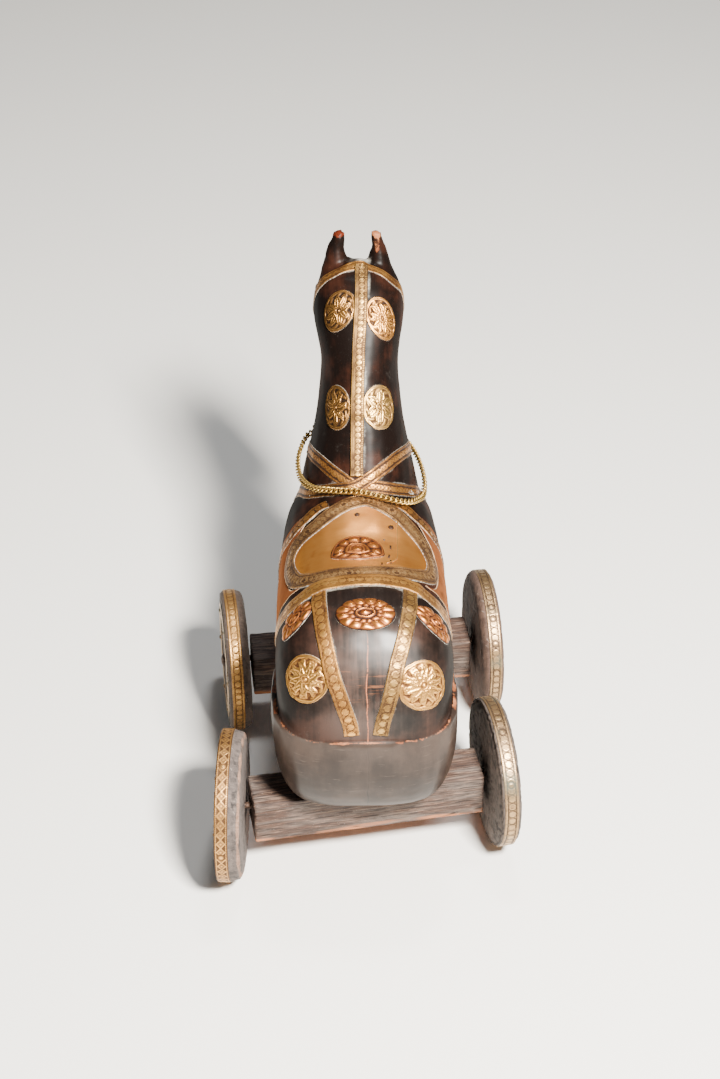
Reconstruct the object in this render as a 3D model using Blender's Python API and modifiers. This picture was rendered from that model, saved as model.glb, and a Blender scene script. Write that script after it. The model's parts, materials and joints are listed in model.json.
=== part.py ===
"""Wooden horse on wheels, dressed with brass and copper sheet. Metres, +Z up, the horse looks along +Y."""
import math

import bmesh
import bpy
import numpy as np
from mathutils import Matrix, Vector
from mathutils.bvhtree import BVHTree

# Driving dimensions
mm = 0.001
gap = 0.3 * mm
rear_axle_y = -84.6 * mm
wheelbase = 112.0 * mm
wheel_radius = 40.0 * mm
rear_turn = math.radians(9.3)
front_turn = math.radians(6.1)

# Axle blocks
block_left_end = -58.6 * mm
block_right_end = 61.6 * mm
block_depth = 24.4 * mm
block_height = 26.4 * mm
block_top = 48.0 * mm
block_edge = 1.2 * mm

# Wheels
wheel_steps = 24
pin_steps = 10
axle_height = wheel_radius * math.cos(math.pi / wheel_steps)
tyre_width = 7.2 * mm
tyre_thickness = 0.7 * mm
outer_face = 5.2 * mm
outer_face_radius = 35.4 * mm
bare_tread = -5.4 * mm
inner_face = -7.8 * mm
inner_face_radius = 33.5 * mm
hub_distances = {"rear_left": 70.4 * mm, "rear_right": 69.8 * mm, "front_left": 71.0 * mm, "front_right": 70.4 * mm}
hub_wobbles = {"rear_left": math.radians(-12.3), "rear_right": 0.0, "front_left": 0.0, "front_right": 0.0}
bore_radius = 2.3 * mm
pin_radius = 1.8 * mm
pin_head_radius = 4.4 * mm
pin_head_height = 1.8 * mm
pin_depth_in_block = 10.0 * mm
ring_inner_radius = 23.5 * mm
ring_outer_radius = 32.5 * mm
ring_thickness = 0.6 * mm

# Horse
ear_spread = 10.6 * mm
neck_lean = math.radians(0.8)
neck_root = Vector((0.0, 100.0, 150.0)) * mm

# Sheet metal
sheet_thickness = 0.6 * mm
clearance = 0.4 * mm
probe_height = 5.0 * mm
raising_passes = 3
strap_width = 7.0 * mm
border_width = 6.6 * mm
narrow_width = 5.8 * mm
crest_width = 5.8 * mm
rear_band_width = 10.4 * mm
dome_height = 0.8 * mm
saddle_rosette_half = 14.0 * mm
rosette_arc = 16.0 * mm
rosette_flat = 3.5 * mm
upper_medallion_tilt = math.radians(32)
side_rosette_tilt = math.radians(38)

# Neck chain
chain_radius = 1.75 * mm
chain_links = 38


def spline(values, steps):
    """Catmull-Rom through the rows of values, with some steps between each pair."""
    rows = np.array(values, float)
    before = np.vstack([2 * rows[0] - rows[1], rows, 2 * rows[-1] - rows[-2]])
    out = []
    for i in range(len(rows) - 1):
        a, b, c, d = before[i:i + 4]
        for k in range(steps):
            t = k / steps
            slope = (c - a) * t + (2 * a - 5 * b + 4 * c - d) * t * t + (3 * b - a - 3 * c + d) * t ** 3
            out.append(b + slope / 2)
    out.append(rows[-1])
    return out


def clear_scene():
    for thing in list(bpy.data.objects):
        bpy.data.objects.remove(thing, do_unlink=True)


def collection(name):
    made = bpy.data.collections.new(name)
    bpy.context.scene.collection.children.link(made)
    return made


def material(name, colour, roughness, metallic=0.0):
    made = bpy.data.materials.new(name)
    made.use_nodes = True
    shader = made.node_tree.nodes["Principled BSDF"]
    shader.inputs["Base Color"].default_value = (*colour, 1.0)
    shader.inputs["Roughness"].default_value = roughness
    shader.inputs["Metallic"].default_value = metallic
    return made


def keep(name, mesh, look, place=None):
    """A mesh becomes a named object of the model, or a hidden tool when it has no look."""
    thing = bpy.data.objects.new(name, mesh)
    (parts if look else tools).objects.link(thing)
    if look:
        mesh.materials.append(look)
    else:
        thing.hide_render = True
        thing.display_type = "WIRE"
    thing.parent = place
    return thing


def mesh_of(name, form):
    bmesh.ops.recalc_face_normals(form, faces=form.faces)
    mesh = bpy.data.meshes.new(name)
    form.to_mesh(mesh)
    form.free()
    return mesh


def loft(name, sections, sides, steps):
    """Closed skin over upright rings. A section is y, z at one end, y, z at the other, half width, fullness."""
    form = bmesh.new()
    rings = []
    for y0, z0, y1, z1, half_width, fullness in spline(sections, steps):
        ring = []
        for k in range(sides):
            turn = 2 * math.pi * (k + 0.5) / sides
            along, across = math.cos(turn), math.sin(turn)
            u = math.copysign(abs(along) ** (2 / fullness), along)
            v = math.copysign(abs(across) ** (2 / fullness), across)
            y = (y0 + y1) / 2 - u * (y1 - y0) / 2
            z = (z0 + z1) / 2 - u * (z1 - z0) / 2
            ring.append(form.verts.new(Vector((half_width * v, y, z)) * mm))
        rings.append(ring)
    for lower, upper in zip(rings, rings[1:]):
        for k in range(sides):
            j = (k + 1) % sides
            form.faces.new((lower[k], lower[j], upper[j], upper[k]))
    form.faces.new(rings[0])
    form.faces.new(rings[-1])
    return mesh_of(name, form)


def boolean(base, other, operation):
    cut = base.modifiers.new(other.name, "BOOLEAN")
    cut.object = other
    cut.operation = operation
    cut.solver = "EXACT"


def baked(thing):
    """The object as its modifiers leave it, as a plain mesh."""
    view = bpy.context.evaluated_depsgraph_get()
    mesh = bpy.data.meshes.new_from_object(thing.evaluated_get(view))
    thing.modifiers.clear()
    thing.data = mesh
    return thing


# The horse

def trunk_mesh():
    """Rump, barrel and chest: upright sections along the body, each from its top to its bottom."""
    stations = [
        (-31.5, 108, -31.5, 92, 18, 2.2),
        (-29, 121, -29, 84, 31, 2.3),
        (-20, 138, -20, 78, 39.5, 2.4),
        (-7, 152, -7, 74, 43.8, 2.4),
        (8, 157, 8, 73, 45, 2.4),
        (32, 157.5, 32, 75, 44.5, 2.4),
        (60, 158, 60, 77, 44, 2.4),
        (86, 162, 86, 78, 42.5, 2.4),
        (112, 158, 112, 76, 41, 2.4),
        (136, 146, 136, 74, 38, 2.4),
        (152, 130, 152, 78, 31, 2.3),
        (159, 116, 159, 88, 19, 2.2),
    ]
    return loft("trunk", stations, 24, 2)


def hind_mesh():
    """Haunches and hind legs in one block, level sections from the foot up to the ledge."""
    stations = [
        (-20, 48.3, 25, 48.3, 35, 3.2),
        (-26.5, 52, 29, 52, 39.5, 3.2),
        (-33, 64, 30, 64, 43.5, 3.2),
        (-36.5, 80, 33, 80, 46.5, 3.1),
        (-35.5, 92, 42, 92, 47.5, 3.0),
        (-33.5, 101, 50, 101, 47.5, 2.9),
    ]
    return loft("hind block", stations, 22, 2)


def fore_mesh():
    """Shoulders and fore legs in one block."""
    stations = [
        (94, 48.3, 134, 48.3, 29, 3.2),
        (89, 52, 138, 52, 33, 3.2),
        (87, 64, 142, 64, 36, 3.1),
        (84, 80, 150, 80, 39, 3.0),
        (78, 94, 156, 94, 41, 2.8),
        (84, 112, 154, 112, 36, 2.6),
    ]
    return loft("fore block", stations, 20, 2)


def neck_mesh():
    """Neck: sections from the crest at the back to the throat."""
    stations = [
        (78, 138, 154, 100, 35, 2.3),
        (90, 162, 160, 132, 31.5, 2.3),
        (100, 176, 166, 152, 27, 2.3),
        (111, 191, 171, 168, 23.5, 2.3),
        (124, 208, 180, 184, 21, 2.2),
        (137, 226, 187, 200, 20.8, 2.2),
        (150, 240.5, 192, 214, 22, 2.2),
        (161, 250, 195, 232, 19, 2.2),
        (171, 251, 192, 243, 12, 2.1),
    ]
    return loft("neck", stations, 20, 2)


def head_mesh():
    """Head: sections from the poll to the muzzle, face side first."""
    stations = [
        (183, 248.5, 166, 239, 14, 2.1),
        (194, 241, 165, 219, 20, 2.2),
        (200, 228, 167, 200, 22, 2.2),
        (204, 209, 172, 186, 19.5, 2.2),
        (214, 188, 179, 173, 16.5, 2.2),
        (219.5, 169, 184, 159, 14.5, 2.3),
        (220, 154, 185, 147, 13.5, 2.4),
        (213, 141, 189, 138, 10.5, 2.3),
    ]
    return loft("head", stations, 18, 2)


def ear_mesh():
    """Pricked ear, broken off at the tip."""
    stations = [
        (168, 230, 188, 236, 9.5, 2.0),
        (173, 245, 189, 247, 7.2, 2.0),
        (179, 257, 189, 258, 4.3, 2.0),
        (182, 265.6, 187, 265.2, 2.2, 2.0),
    ]
    return loft("ear", stations, 8, 2)


def eye_mesh():
    """Almond bulge of an eye."""
    form = bmesh.new()
    bmesh.ops.create_uvsphere(form, u_segments=10, v_segments=6, radius=1.0)
    bmesh.ops.scale(form, vec=Vector((2.6, 3.2, 5.4)) * mm, verts=form.verts)
    return mesh_of("eye", form)


def nostril_mesh():
    form = bmesh.new()
    bmesh.ops.create_uvsphere(form, u_segments=8, v_segments=5, radius=1.0)
    bmesh.ops.scale(form, vec=Vector((2.4, 1.6, 3.2)) * mm, verts=form.verts)
    return mesh_of("nostril", form)


def mouth_mesh():
    """Wedge that cuts the line of the lips into both sides of the muzzle."""
    form = bmesh.new()
    bmesh.ops.create_cube(form, size=1.0)
    bmesh.ops.scale(form, vec=Vector((30.0, 16.0, 1.4)) * mm, verts=form.verts)
    return mesh_of("mouth", form)


def horse_body(look):
    """One carved piece: trunk, leg blocks, neck, head and ears joined, then eyes, nostrils and mouth."""
    body = keep("horse", trunk_mesh(), look, rear)
    forms = [keep(mesh.name, mesh, None, rear) for mesh in (hind_mesh(), fore_mesh())]
    raised = [keep(mesh.name, mesh, None, neck) for mesh in (neck_mesh(), head_mesh())]
    for side in (-1, 1):
        ear = keep("ear", ear_mesh(), None, neck)
        eye = keep("eye", eye_mesh(), None, neck)
        nostril = keep("nostril", nostril_mesh(), None, neck)
        ear.location.x = side * ear_spread
        eye.location = Vector((side * 17.6, 194, 226)) * mm
        eye.rotation_euler = (math.radians(24), 0, side * math.radians(14))
        nostril.location = Vector((side * 11.2, 215, 153)) * mm
        raised += [ear, eye]
        hollows.append(nostril)
    mouth = keep("mouth", mouth_mesh(), None, neck)
    mouth.location = Vector((0, 215, 144.5)) * mm
    mouth.rotation_euler.x = math.radians(12)
    hollows.append(mouth)
    for form in raised:
        form.location -= neck_root
    for form in hollows:
        form.location -= neck_root
    for form in forms + raised:
        boolean(body, form, "UNION")
    for form in hollows:
        boolean(body, form, "DIFFERENCE")
    return baked(body)


# Sheet metal laid on the horse

def skin_of(things):
    """Search tree over the faces of some objects, in the frame below the rear axle."""
    points, faces = [], []
    for thing in things:
        start = len(points)
        points += [vertex.co.copy() for vertex in thing.data.vertices]
        faces += [[start + i for i in face.vertices] for face in thing.data.polygons]
    return BVHTree.FromPolygons(points, faces)


def cling(point):
    """The nearest place on the bare wood, and the way out of it."""
    place, normal, _, _ = skin.find_nearest(point)
    return place, normal


def short_of_clear(point, normal):
    """How much higher a point must lie to clear the wood and the metal nailed on before it."""
    start = point + normal * probe_height
    hit = dressed.ray_cast(start, -normal, 2 * probe_height)[0]
    return clearance - (point - hit).dot(normal) if hit else 0.0


def cell_need(corners):
    """How much a flat between four corners must rise. A corner is its place, its normal and its height."""
    need = 0.0
    points = [place + normal * height for place, normal, height in corners]
    for s in np.linspace(0, 1, 7):
        for t in np.linspace(0, 1, 7):
            weights = ((1 - s) * (1 - t), (1 - s) * t, s * (1 - t), s * t)
            point = sum((p * w for p, w in zip(points, weights)), Vector())
            normal = sum((corner[1] * w for corner, w in zip(corners, weights)), Vector()).normalized()
            need = max(need, short_of_clear(point, normal))
    return need


def heights_over(places, closed):
    """Height of each place of a grid, raised until the flats between them clear what lies below."""
    count = len(places[0])
    heights = [[clearance] * count for _ in places]
    for _ in range(raising_passes):
        raised = [row[:] for row in heights]
        for i in range(len(places) - (closed != "rows")):
            for j in range(count - (closed != "columns")):
                k, m = (i + 1) % len(places), (j + 1) % count
                spots = [(i, j), (i, m), (k, j), (k, m)]
                need = cell_need([(*places[r][c], heights[r][c]) for r, c in spots])
                for r, c in spots:
                    raised[r][c] = max(raised[r][c], heights[r][c] + need)
        heights = raised
    return heights


def nailed(name, form, look):
    """The finished sheet, which everything nailed on later clears."""
    global dressed
    thing = keep(name, mesh_of(name, form), look, rear)
    worn.append(thing)
    dressed = skin_of(worn)
    return thing


def sheet(name, rows, look, closed=""):
    """Closed sheet over a grid of points near the horse. Closed rows join its last row to its first."""
    places = [[cling(point) for point in row] for row in rows]
    heights = heights_over(places, closed)
    form = bmesh.new()
    grids = []
    for extra in (0.0, sheet_thickness):
        grids.append([[form.verts.new(place + normal * (height + extra)) for (place, normal), height in zip(*pair)]
                      for pair in zip(places, heights)])
    under, over = grids
    columns = len(rows[0])
    for i in range(len(rows) - (0 if closed else 1)):
        k = (i + 1) % len(rows)
        for j in range(columns - 1):
            for grid in grids:
                form.faces.new((grid[i][j], grid[i][j + 1], grid[k][j + 1], grid[k][j]))
        for j in (0, columns - 1):
            form.faces.new((under[i][j], under[k][j], over[k][j], over[i][j]))
    for i in () if closed else (0, -1):
        for j in range(columns - 1):
            form.faces.new((under[i][j], under[i][j + 1], over[i][j + 1], over[i][j]))
    return nailed(name, form, look)


def strip(name, route, look, width, closed=False):
    """Narrow strip along a route of points near the horse."""
    points = loop_through(route, 2) if closed else [Vector(point) * mm for point in spline(route, 2)]
    line = [cling(point) for point in points]
    rows = []
    for i, (place, normal) in enumerate(line):
        after = line[(i + 1) % len(line)] if closed else line[min(i + 1, len(line) - 1)]
        before = line[i - 1] if closed else line[max(i - 1, 0)]
        side = (after[0] - before[0]).cross(normal).normalized() * width / 2
        rows.append([place - side, place + side])
    return sheet(name, rows, look, "rows" if closed else "")


def plaque(name, rim, look, rise, rings=2):
    """Closed plate inside a rim of points near the horse, swelling by some rise to its middle."""
    middle = sum(rim, Vector()) / len(rim)
    places = [[cling(middle.lerp(point, ring / rings)) for point in rim] for ring in range(rings + 1)]
    heights = heights_over(places, "columns")
    form = bmesh.new()
    edges = []
    for extra, swell in ((0.0, 0.0), (sheet_thickness, rise)):
        place, normal = places[0][0]
        centre = form.verts.new(place + normal * (max(heights[0]) + extra + swell))
        circles = []
        for ring in range(1, rings + 1):
            bulge = extra + swell * (1 - (ring / rings) ** 2)
            circles.append([form.verts.new(place + normal * (height + bulge))
                            for (place, normal), height in zip(places[ring], heights[ring])])
        for j in range(len(rim)):
            k = (j + 1) % len(rim)
            form.faces.new((centre, circles[0][j], circles[0][k]))
            for inner, outer in zip(circles, circles[1:]):
                form.faces.new((inner[j], outer[j], outer[k], inner[k]))
        edges.append(circles[-1])
    under, over = edges
    for j in range(len(rim)):
        k = (j + 1) % len(rim)
        form.faces.new((under[j], under[k], over[k], over[j]))
    return nailed(name, form, look)


def medallion(name, centre, half_width, half_length, look, turn=0.0, sides=14):
    """Domed oval, its length up the horse and turned from there."""
    place, normal = cling(Vector(centre) * mm)
    along = (Vector((0, 1, 1)) - normal * normal.dot(Vector((0, 1, 1)))).normalized()
    along = Matrix.Rotation(turn, 3, normal) @ along
    across = along.cross(normal)
    rim = []
    for k in range(sides):
        angle = 2 * math.pi * k / sides
        rim.append(place + across * half_width * math.cos(angle) + along * half_length * math.sin(angle))
    return plaque(name, rim, look, dome_height)


def mirrored(route, side):
    return [(side * x, y, z) for x, y, z in route]


def loop_through(route, steps):
    """Closed smooth line through a few points."""
    closed = spline(route[-1:] + route + route[:2], steps)
    return [Vector(point) * mm for point in closed[steps:-steps - 1]]


def both_halves(half, front, back):
    """A route round the mid-plane from one half of it, with its two points on the mid-plane."""
    return [front] + half + [back] + [(-x, y, z) for x, y, z in reversed(half)]


def saddle(brass, copper):
    """Copper seat with its half-round rosette, a side panel below each edge, and brass along the borders."""
    seat = [(9, 82, 160.7), (19, 77, 158), (28, 66, 151.5), (34.5, 53, 145.5), (31.5, 39, 148), (17, 35.8, 155.5)]
    border = [(9, 88, 161), (20, 82, 158), (31, 70, 149), (37.6, 54, 140.5), (34, 38, 145), (18, 34, 154.5)]
    rim = loop_through(both_halves(seat, (0, 83, 161.5), (0, 37, 157.3)), 2)
    plaque("saddle_seat", rim, copper, 0.0, rings=3)
    for side, word in ((-1, "left"), (1, "right")):
        top = spline([(20, 84, 157), (31, 70, 149), (37.6, 54, 140.5), (36, 40, 143)], 3)
        foot = spline([(41.5, 82, 126), (44, 70, 112), (45.5, 55, 106), (46, 36, 108)], 3)
        rows = []
        for upper, lower in zip(top, foot):
            across = [upper + (lower - upper) * k / 4 for k in range(5)]
            rows.append([Vector((side * x, y, z)) * mm for x, y, z in across])
        sheet(f"saddle_wing_{word}", rows, copper)
    strip("saddle_border", both_halves(border, (0, 88.5, 162), (0, 34, 157.3)), brass, border_width, closed=True)
    for side, word in ((-1, "left"), (1, "right")):
        edge = [(22, 92, 157), (32, 88, 149), (38, 83.5, 139), (42.5, 80, 124), (44, 73, 112)]
        strip(f"wing_band_{word}", mirrored(edge, side), brass, narrow_width)
    place, normal = cling(Vector((-2.7, 45, 157.5)) * mm)
    rim = []
    for k in range(14):
        angle = 2 * math.pi * (k + 0.5) / 14
        depth = rosette_arc if math.sin(angle) > 0 else rosette_flat
        rim.append(place + Vector((saddle_rosette_half * math.cos(angle), depth * math.sin(angle), 0)))
    plaque("saddle_rosette", rim, copper, dome_height)


def dress(brass, copper):
    """All the metal nailed on the horse, in the order in which one piece lies over another."""
    saddle(brass, copper)
    for side, word in ((-1, "left"), (1, "right")):
        tilt = side * upper_medallion_tilt
        medallion(f"neck_medallion_upper_{word}", (side * 11.5, 148, 236.5), 8.6 * mm, 11.4 * mm, brass, tilt)
        medallion(f"neck_medallion_lower_{word}", (side * 11.8, 119.8, 197.6), 8.8 * mm, 11.5 * mm, brass)
        tilt = side * side_rosette_tilt
        medallion(f"rump_rosette_{word}", (side * 34, 8, 145), 7.4 * mm, 12.6 * mm, copper, tilt)
        medallion(f"rump_medallion_{word}", (side * 28.5, -20.3, 130), 12.8 * mm, 12.2 * mm, brass)
        strap = [(22.5, 17.5, 153.6), (21.3, 2, 152.5), (18.9, -10.5, 146.7), (15.6, -19.3, 137), (11.4, -27.8, 122.6),
                 (7, -31.5, 105.5)]
        strip(f"rump_strap_{word}", mirrored(strap, side), brass, strap_width)
        collar = [(1.5, 164, 139), (14, 161, 144), (24, 149, 153), (27, 132, 164), (22, 111, 171), (11, 97.5, 169.5),
                  (0, 92.5, 166), (-11, 94, 164.5), (-21, 98, 160), (-30, 109, 152), (-38, 128, 137),
                  (-33, 148, 119), (-17, 157.5, 111)]
        strip(f"collar_band_{word}", mirrored(collar, side), brass, narrow_width)
    medallion("rump_rosette_middle", (0.3, 1.1, 155.3), 14.6 * mm, 9.8 * mm, copper)
    band = [(-45, 30, 118), (-41, 25.5, 136), (-24, 24.2, 153), (0, 24.2, 157.3), (24, 24.2, 153),
            (41, 25.5, 136), (45, 30, 118)]
    strip("rear_band", band, brass, rear_band_width)
    browband = [(21, 184, 205), (22, 175, 222), (20, 170.5, 237), (14.6, 166.8, 247), (0, 168.6, 253)]
    strip("headband", browband + mirrored(browband[-2::-1], -1), brass, narrow_width)
    crest = [(-2.0, 97.5, 171), (-1.6, 109, 187.8), (-1, 121.5, 204.3), (0, 137, 225.3), (1.4, 151, 241), (1.9, 169, 251.3)]
    strip("crest_strip", crest, brass, crest_width)


# Wheels and axles

def turned(name, outline, look, place, steps=wheel_steps):
    """Solid of revolution about local Z. The outline is radius and height, down its outer side."""
    first = math.pi / steps
    form = bmesh.new()
    points = [form.verts.new((radius * math.cos(first), radius * math.sin(first), z)) for radius, z in outline]
    for a, b in zip(points, points[1:] + points[:1]):
        if a.co.xy.length > 0 or b.co.xy.length > 0:
            form.edges.new((a, b))
    mesh = bpy.data.meshes.new(name)
    form.to_mesh(mesh)
    form.free()
    thing = keep(name, mesh, look, place)
    screw = thing.modifiers.new("turn", "SCREW")
    screw.steps = screw.render_steps = steps
    screw.use_merge_vertices = True
    screw.merge_threshold = 0.00005
    return thing


def wheel(name, axle, side, looks):
    """Wooden disc with bevelled faces, its brass tyre, the embossed ring on its outer face and its pin.

    The tyre covers the outer part of the tread. A wobble turns the wheel and its pin about the upright."""
    hub = bpy.data.objects.new(f"{name}_hub", None)
    parts.objects.link(hub)
    hub.parent = axle
    hub.location.x = side * hub_distances[name]
    hub.rotation_euler = (0, side * math.pi / 2, hub_wobbles[name])
    half = tyre_width / 2
    wood_radius = wheel_radius - tyre_thickness - gap
    disc = [(bore_radius, outer_face), (outer_face_radius, outer_face), (wood_radius, half),
            (wood_radius, bare_tread), (inner_face_radius, inner_face), (bore_radius, inner_face)]
    turned(f"{name}_wheel", disc, looks["grey"], hub)
    inner = wheel_radius - tyre_thickness
    tyre = [(inner, half), (wheel_radius, half), (wheel_radius, -half), (inner, -half)]
    turned(f"{name}_tyre", tyre, looks["brass"], hub)
    low, high = outer_face + gap, outer_face + gap + ring_thickness
    ring = [(ring_inner_radius, high), (ring_outer_radius, high), (ring_outer_radius, low), (ring_inner_radius, low)]
    turned(f"{name}_ring", ring, looks["brass"], hub)
    end = block_right_end - hub_distances[name] - pin_depth_in_block
    pin = [(0, low + pin_head_height), (pin_head_radius * 0.75, low + pin_head_height * 0.75),
           (pin_head_radius, low), (pin_radius, low), (pin_radius, end), (0, end)]
    turned(f"{name}_pin", pin, looks["iron"], hub, pin_steps)


def axle_block(end, axle, look, left_end):
    """Square bar under a pair of legs, with a blind hole in each end for its pins."""
    form = bmesh.new()
    bmesh.ops.create_cube(form, size=1.0)
    bmesh.ops.scale(form, vec=(block_right_end - left_end, block_depth, block_height), verts=form.verts)
    bmesh.ops.translate(form, vec=((block_right_end + left_end) / 2, 0, 0), verts=form.verts)
    bmesh.ops.bevel(form, geom=form.edges[:], offset=block_edge, segments=1, affect="EDGES")
    block = keep(f"{end}_axle_block", mesh_of("block", form), look, axle)
    block.location.z = block_top - block_height / 2 - axle_height
    for side, word in ((-1, "left"), (1, "right")):
        distance = hub_distances[f"{end}_{word}"]
        form = bmesh.new()
        bmesh.ops.create_cone(form, cap_ends=True, segments=pin_steps, radius1=bore_radius, radius2=bore_radius,
                              depth=2 * (distance - block_right_end + pin_depth_in_block + gap))
        hole = keep(f"{end}_{word}_hole", mesh_of("hole", form), None, axle)
        hole.location.x = side * distance
        hole.rotation_euler = (0, math.pi / 2, hub_wobbles[f"{end}_{word}"])
        boolean(block, hole, "DIFFERENCE")


def axle_at(name, y, turn):
    axle = bpy.data.objects.new(name, None)
    parts.objects.link(axle)
    axle.location = (0, y, axle_height)
    axle.rotation_euler.z = turn
    return axle


# The neck chain

def lifted_off(point):
    """A point of the chain's middle line, moved until the chain clears the horse and its sheets."""
    clear = chain_radius + 2 * gap
    for _ in range(12):
        place, normal, _, distance = dressed.find_nearest(point)
        inside = (point - place).dot(normal) < 0
        if distance > clear and not inside:
            break
        away = normal if inside or distance < gap else (point - place).normalized()
        point = place + away * (clear + gap / 10)
    return point


def neck_chain(look):
    """Curb chain lying round the base of the neck, thick and thin in turn like its links."""
    route = [(-3, 87.5, 165.8), (-17, 91.6, 165), (-27.9, 106.3, 161.7), (-32, 119, 158.6), (-32.6, 130, 157.5),
             (-31.2, 141, 158), (-27, 150, 161), (-17, 161, 163), (0, 170, 160), (17, 164, 156), (28, 149, 153),
             (34, 131, 152), (35.4, 117.5, 150.3), (34, 105, 151), (30, 94, 156.6), (25, 87.5, 160), (18, 84.5, 163.5),
             (10, 86, 164.8)]
    fine = loop_through(route, 12)
    lengths = [0.0]
    for a, b in zip(fine, fine[1:] + fine[:1]):
        lengths.append(lengths[-1] + (b - a).length)
    spots = np.linspace(0, lengths[-1], 2 * chain_links, endpoint=False)
    around = fine + fine[:1]
    line = bpy.data.curves.new("chain", "CURVE")
    line.dimensions = "3D"
    line.bevel_depth = chain_radius
    line.bevel_resolution = 0
    thread = line.splines.new("POLY")
    thread.points.add(len(spots) - 1)
    thread.use_cyclic_u = True
    for i, spot in enumerate(spots):
        point = lifted_off(Vector([np.interp(spot, lengths, [place[axis] for place in around]) for axis in range(3)]))
        thread.points[i].co = (*point, 1)
        thread.points[i].radius = 1.0 if i % 2 else 0.72
    chain = bpy.data.objects.new("neck_chain", line)
    parts.objects.link(chain)
    chain.parent = rear
    line.materials.append(look)
    return chain


clear_scene()
parts = collection("horse_on_wheels")
tools = collection("tools")
hollows = []
rear = bpy.data.objects.new("below_rear_axle", None)
parts.objects.link(rear)
rear.location.y = rear_axle_y
neck = bpy.data.objects.new("neck_root", None)
tools.objects.link(neck)
neck.parent = rear
neck.location = neck_root
neck.rotation_euler.y = neck_lean

dark_wood = material("dark_wood", (0.035, 0.018, 0.012), 0.35)
block_wood = material("block_wood", (0.20, 0.12, 0.08), 0.8)
grey_wood = material("grey_wood", (0.13, 0.10, 0.08), 0.8)
brass_sheet = material("brass", (0.45, 0.31, 0.13), 0.4, 1.0)
copper_sheet = material("copper", (0.62, 0.27, 0.10), 0.3, 1.0)
iron = material("iron", (0.10, 0.07, 0.05), 0.6, 1.0)
finishes = {"grey": grey_wood, "brass": brass_sheet, "iron": iron}

horse = horse_body(dark_wood)
skin = skin_of([horse])
worn = [horse]
dressed = skin
dress(brass_sheet, copper_sheet)
neck_chain(brass_sheet)
front_axle_y = rear_axle_y + wheelbase
for end, y, turn, left_end in (("rear", rear_axle_y, rear_turn, block_left_end),
                               ("front", front_axle_y, front_turn, -block_right_end)):
    axle = axle_at(f"{end}_axle", y, turn)
    axle_block(end, axle, block_wood, left_end)
    wheel(f"{end}_left", axle, -1, finishes)
    wheel(f"{end}_right", axle, 1, finishes)
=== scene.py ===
import json
import math

import bmesh
import bpy
import numpy as np
from mathutils import Matrix, Vector, noise
from mathutils.bvhtree import BVHTree
from mathutils.kdtree import KDTree


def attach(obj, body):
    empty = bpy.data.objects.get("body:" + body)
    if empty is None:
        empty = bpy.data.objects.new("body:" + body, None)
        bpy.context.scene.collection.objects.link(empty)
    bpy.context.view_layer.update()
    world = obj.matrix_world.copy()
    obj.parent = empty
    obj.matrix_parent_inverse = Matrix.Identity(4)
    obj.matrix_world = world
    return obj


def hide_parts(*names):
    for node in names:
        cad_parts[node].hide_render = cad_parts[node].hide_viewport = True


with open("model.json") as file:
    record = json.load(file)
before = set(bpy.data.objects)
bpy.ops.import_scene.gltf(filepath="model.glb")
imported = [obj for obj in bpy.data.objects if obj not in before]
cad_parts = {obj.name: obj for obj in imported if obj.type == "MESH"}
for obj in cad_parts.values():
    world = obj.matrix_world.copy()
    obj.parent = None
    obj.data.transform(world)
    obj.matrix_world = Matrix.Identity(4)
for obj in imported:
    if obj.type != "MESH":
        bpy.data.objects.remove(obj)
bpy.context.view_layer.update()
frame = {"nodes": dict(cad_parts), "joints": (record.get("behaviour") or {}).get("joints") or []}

mm = 0.001
rearAxle = -84.6  # mm along Y; every route on the horse is measured from there


def report(words):
    print("scene:", words)


def spot(x, y, z):
    # a place given in mm, measured from below the rear axle
    return Vector((x, y + rearAxle, z)) * mm


def bump(distance, width):
    # a soft hill, 1 at no distance
    return math.exp(-(distance / width) ** 2)


def clamped(value):
    return min(1.0, max(0.0, value))


def placed(name, data):
    thing = bpy.data.objects.new(name, data)
    bpy.context.scene.collection.objects.link(thing)
    return thing


def newPiece(name, form, body, look, nodes):
    bmesh.ops.recalc_face_normals(form, faces=form.faces)
    for face in form.faces:
        face.smooth = True
    mesh = bpy.data.meshes.new(name)
    form.to_mesh(mesh)
    form.free()
    mesh.materials.append(look)
    thing = placed(name, mesh)
    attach(thing, body)
    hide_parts(*nodes)


# shader tools

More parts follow.
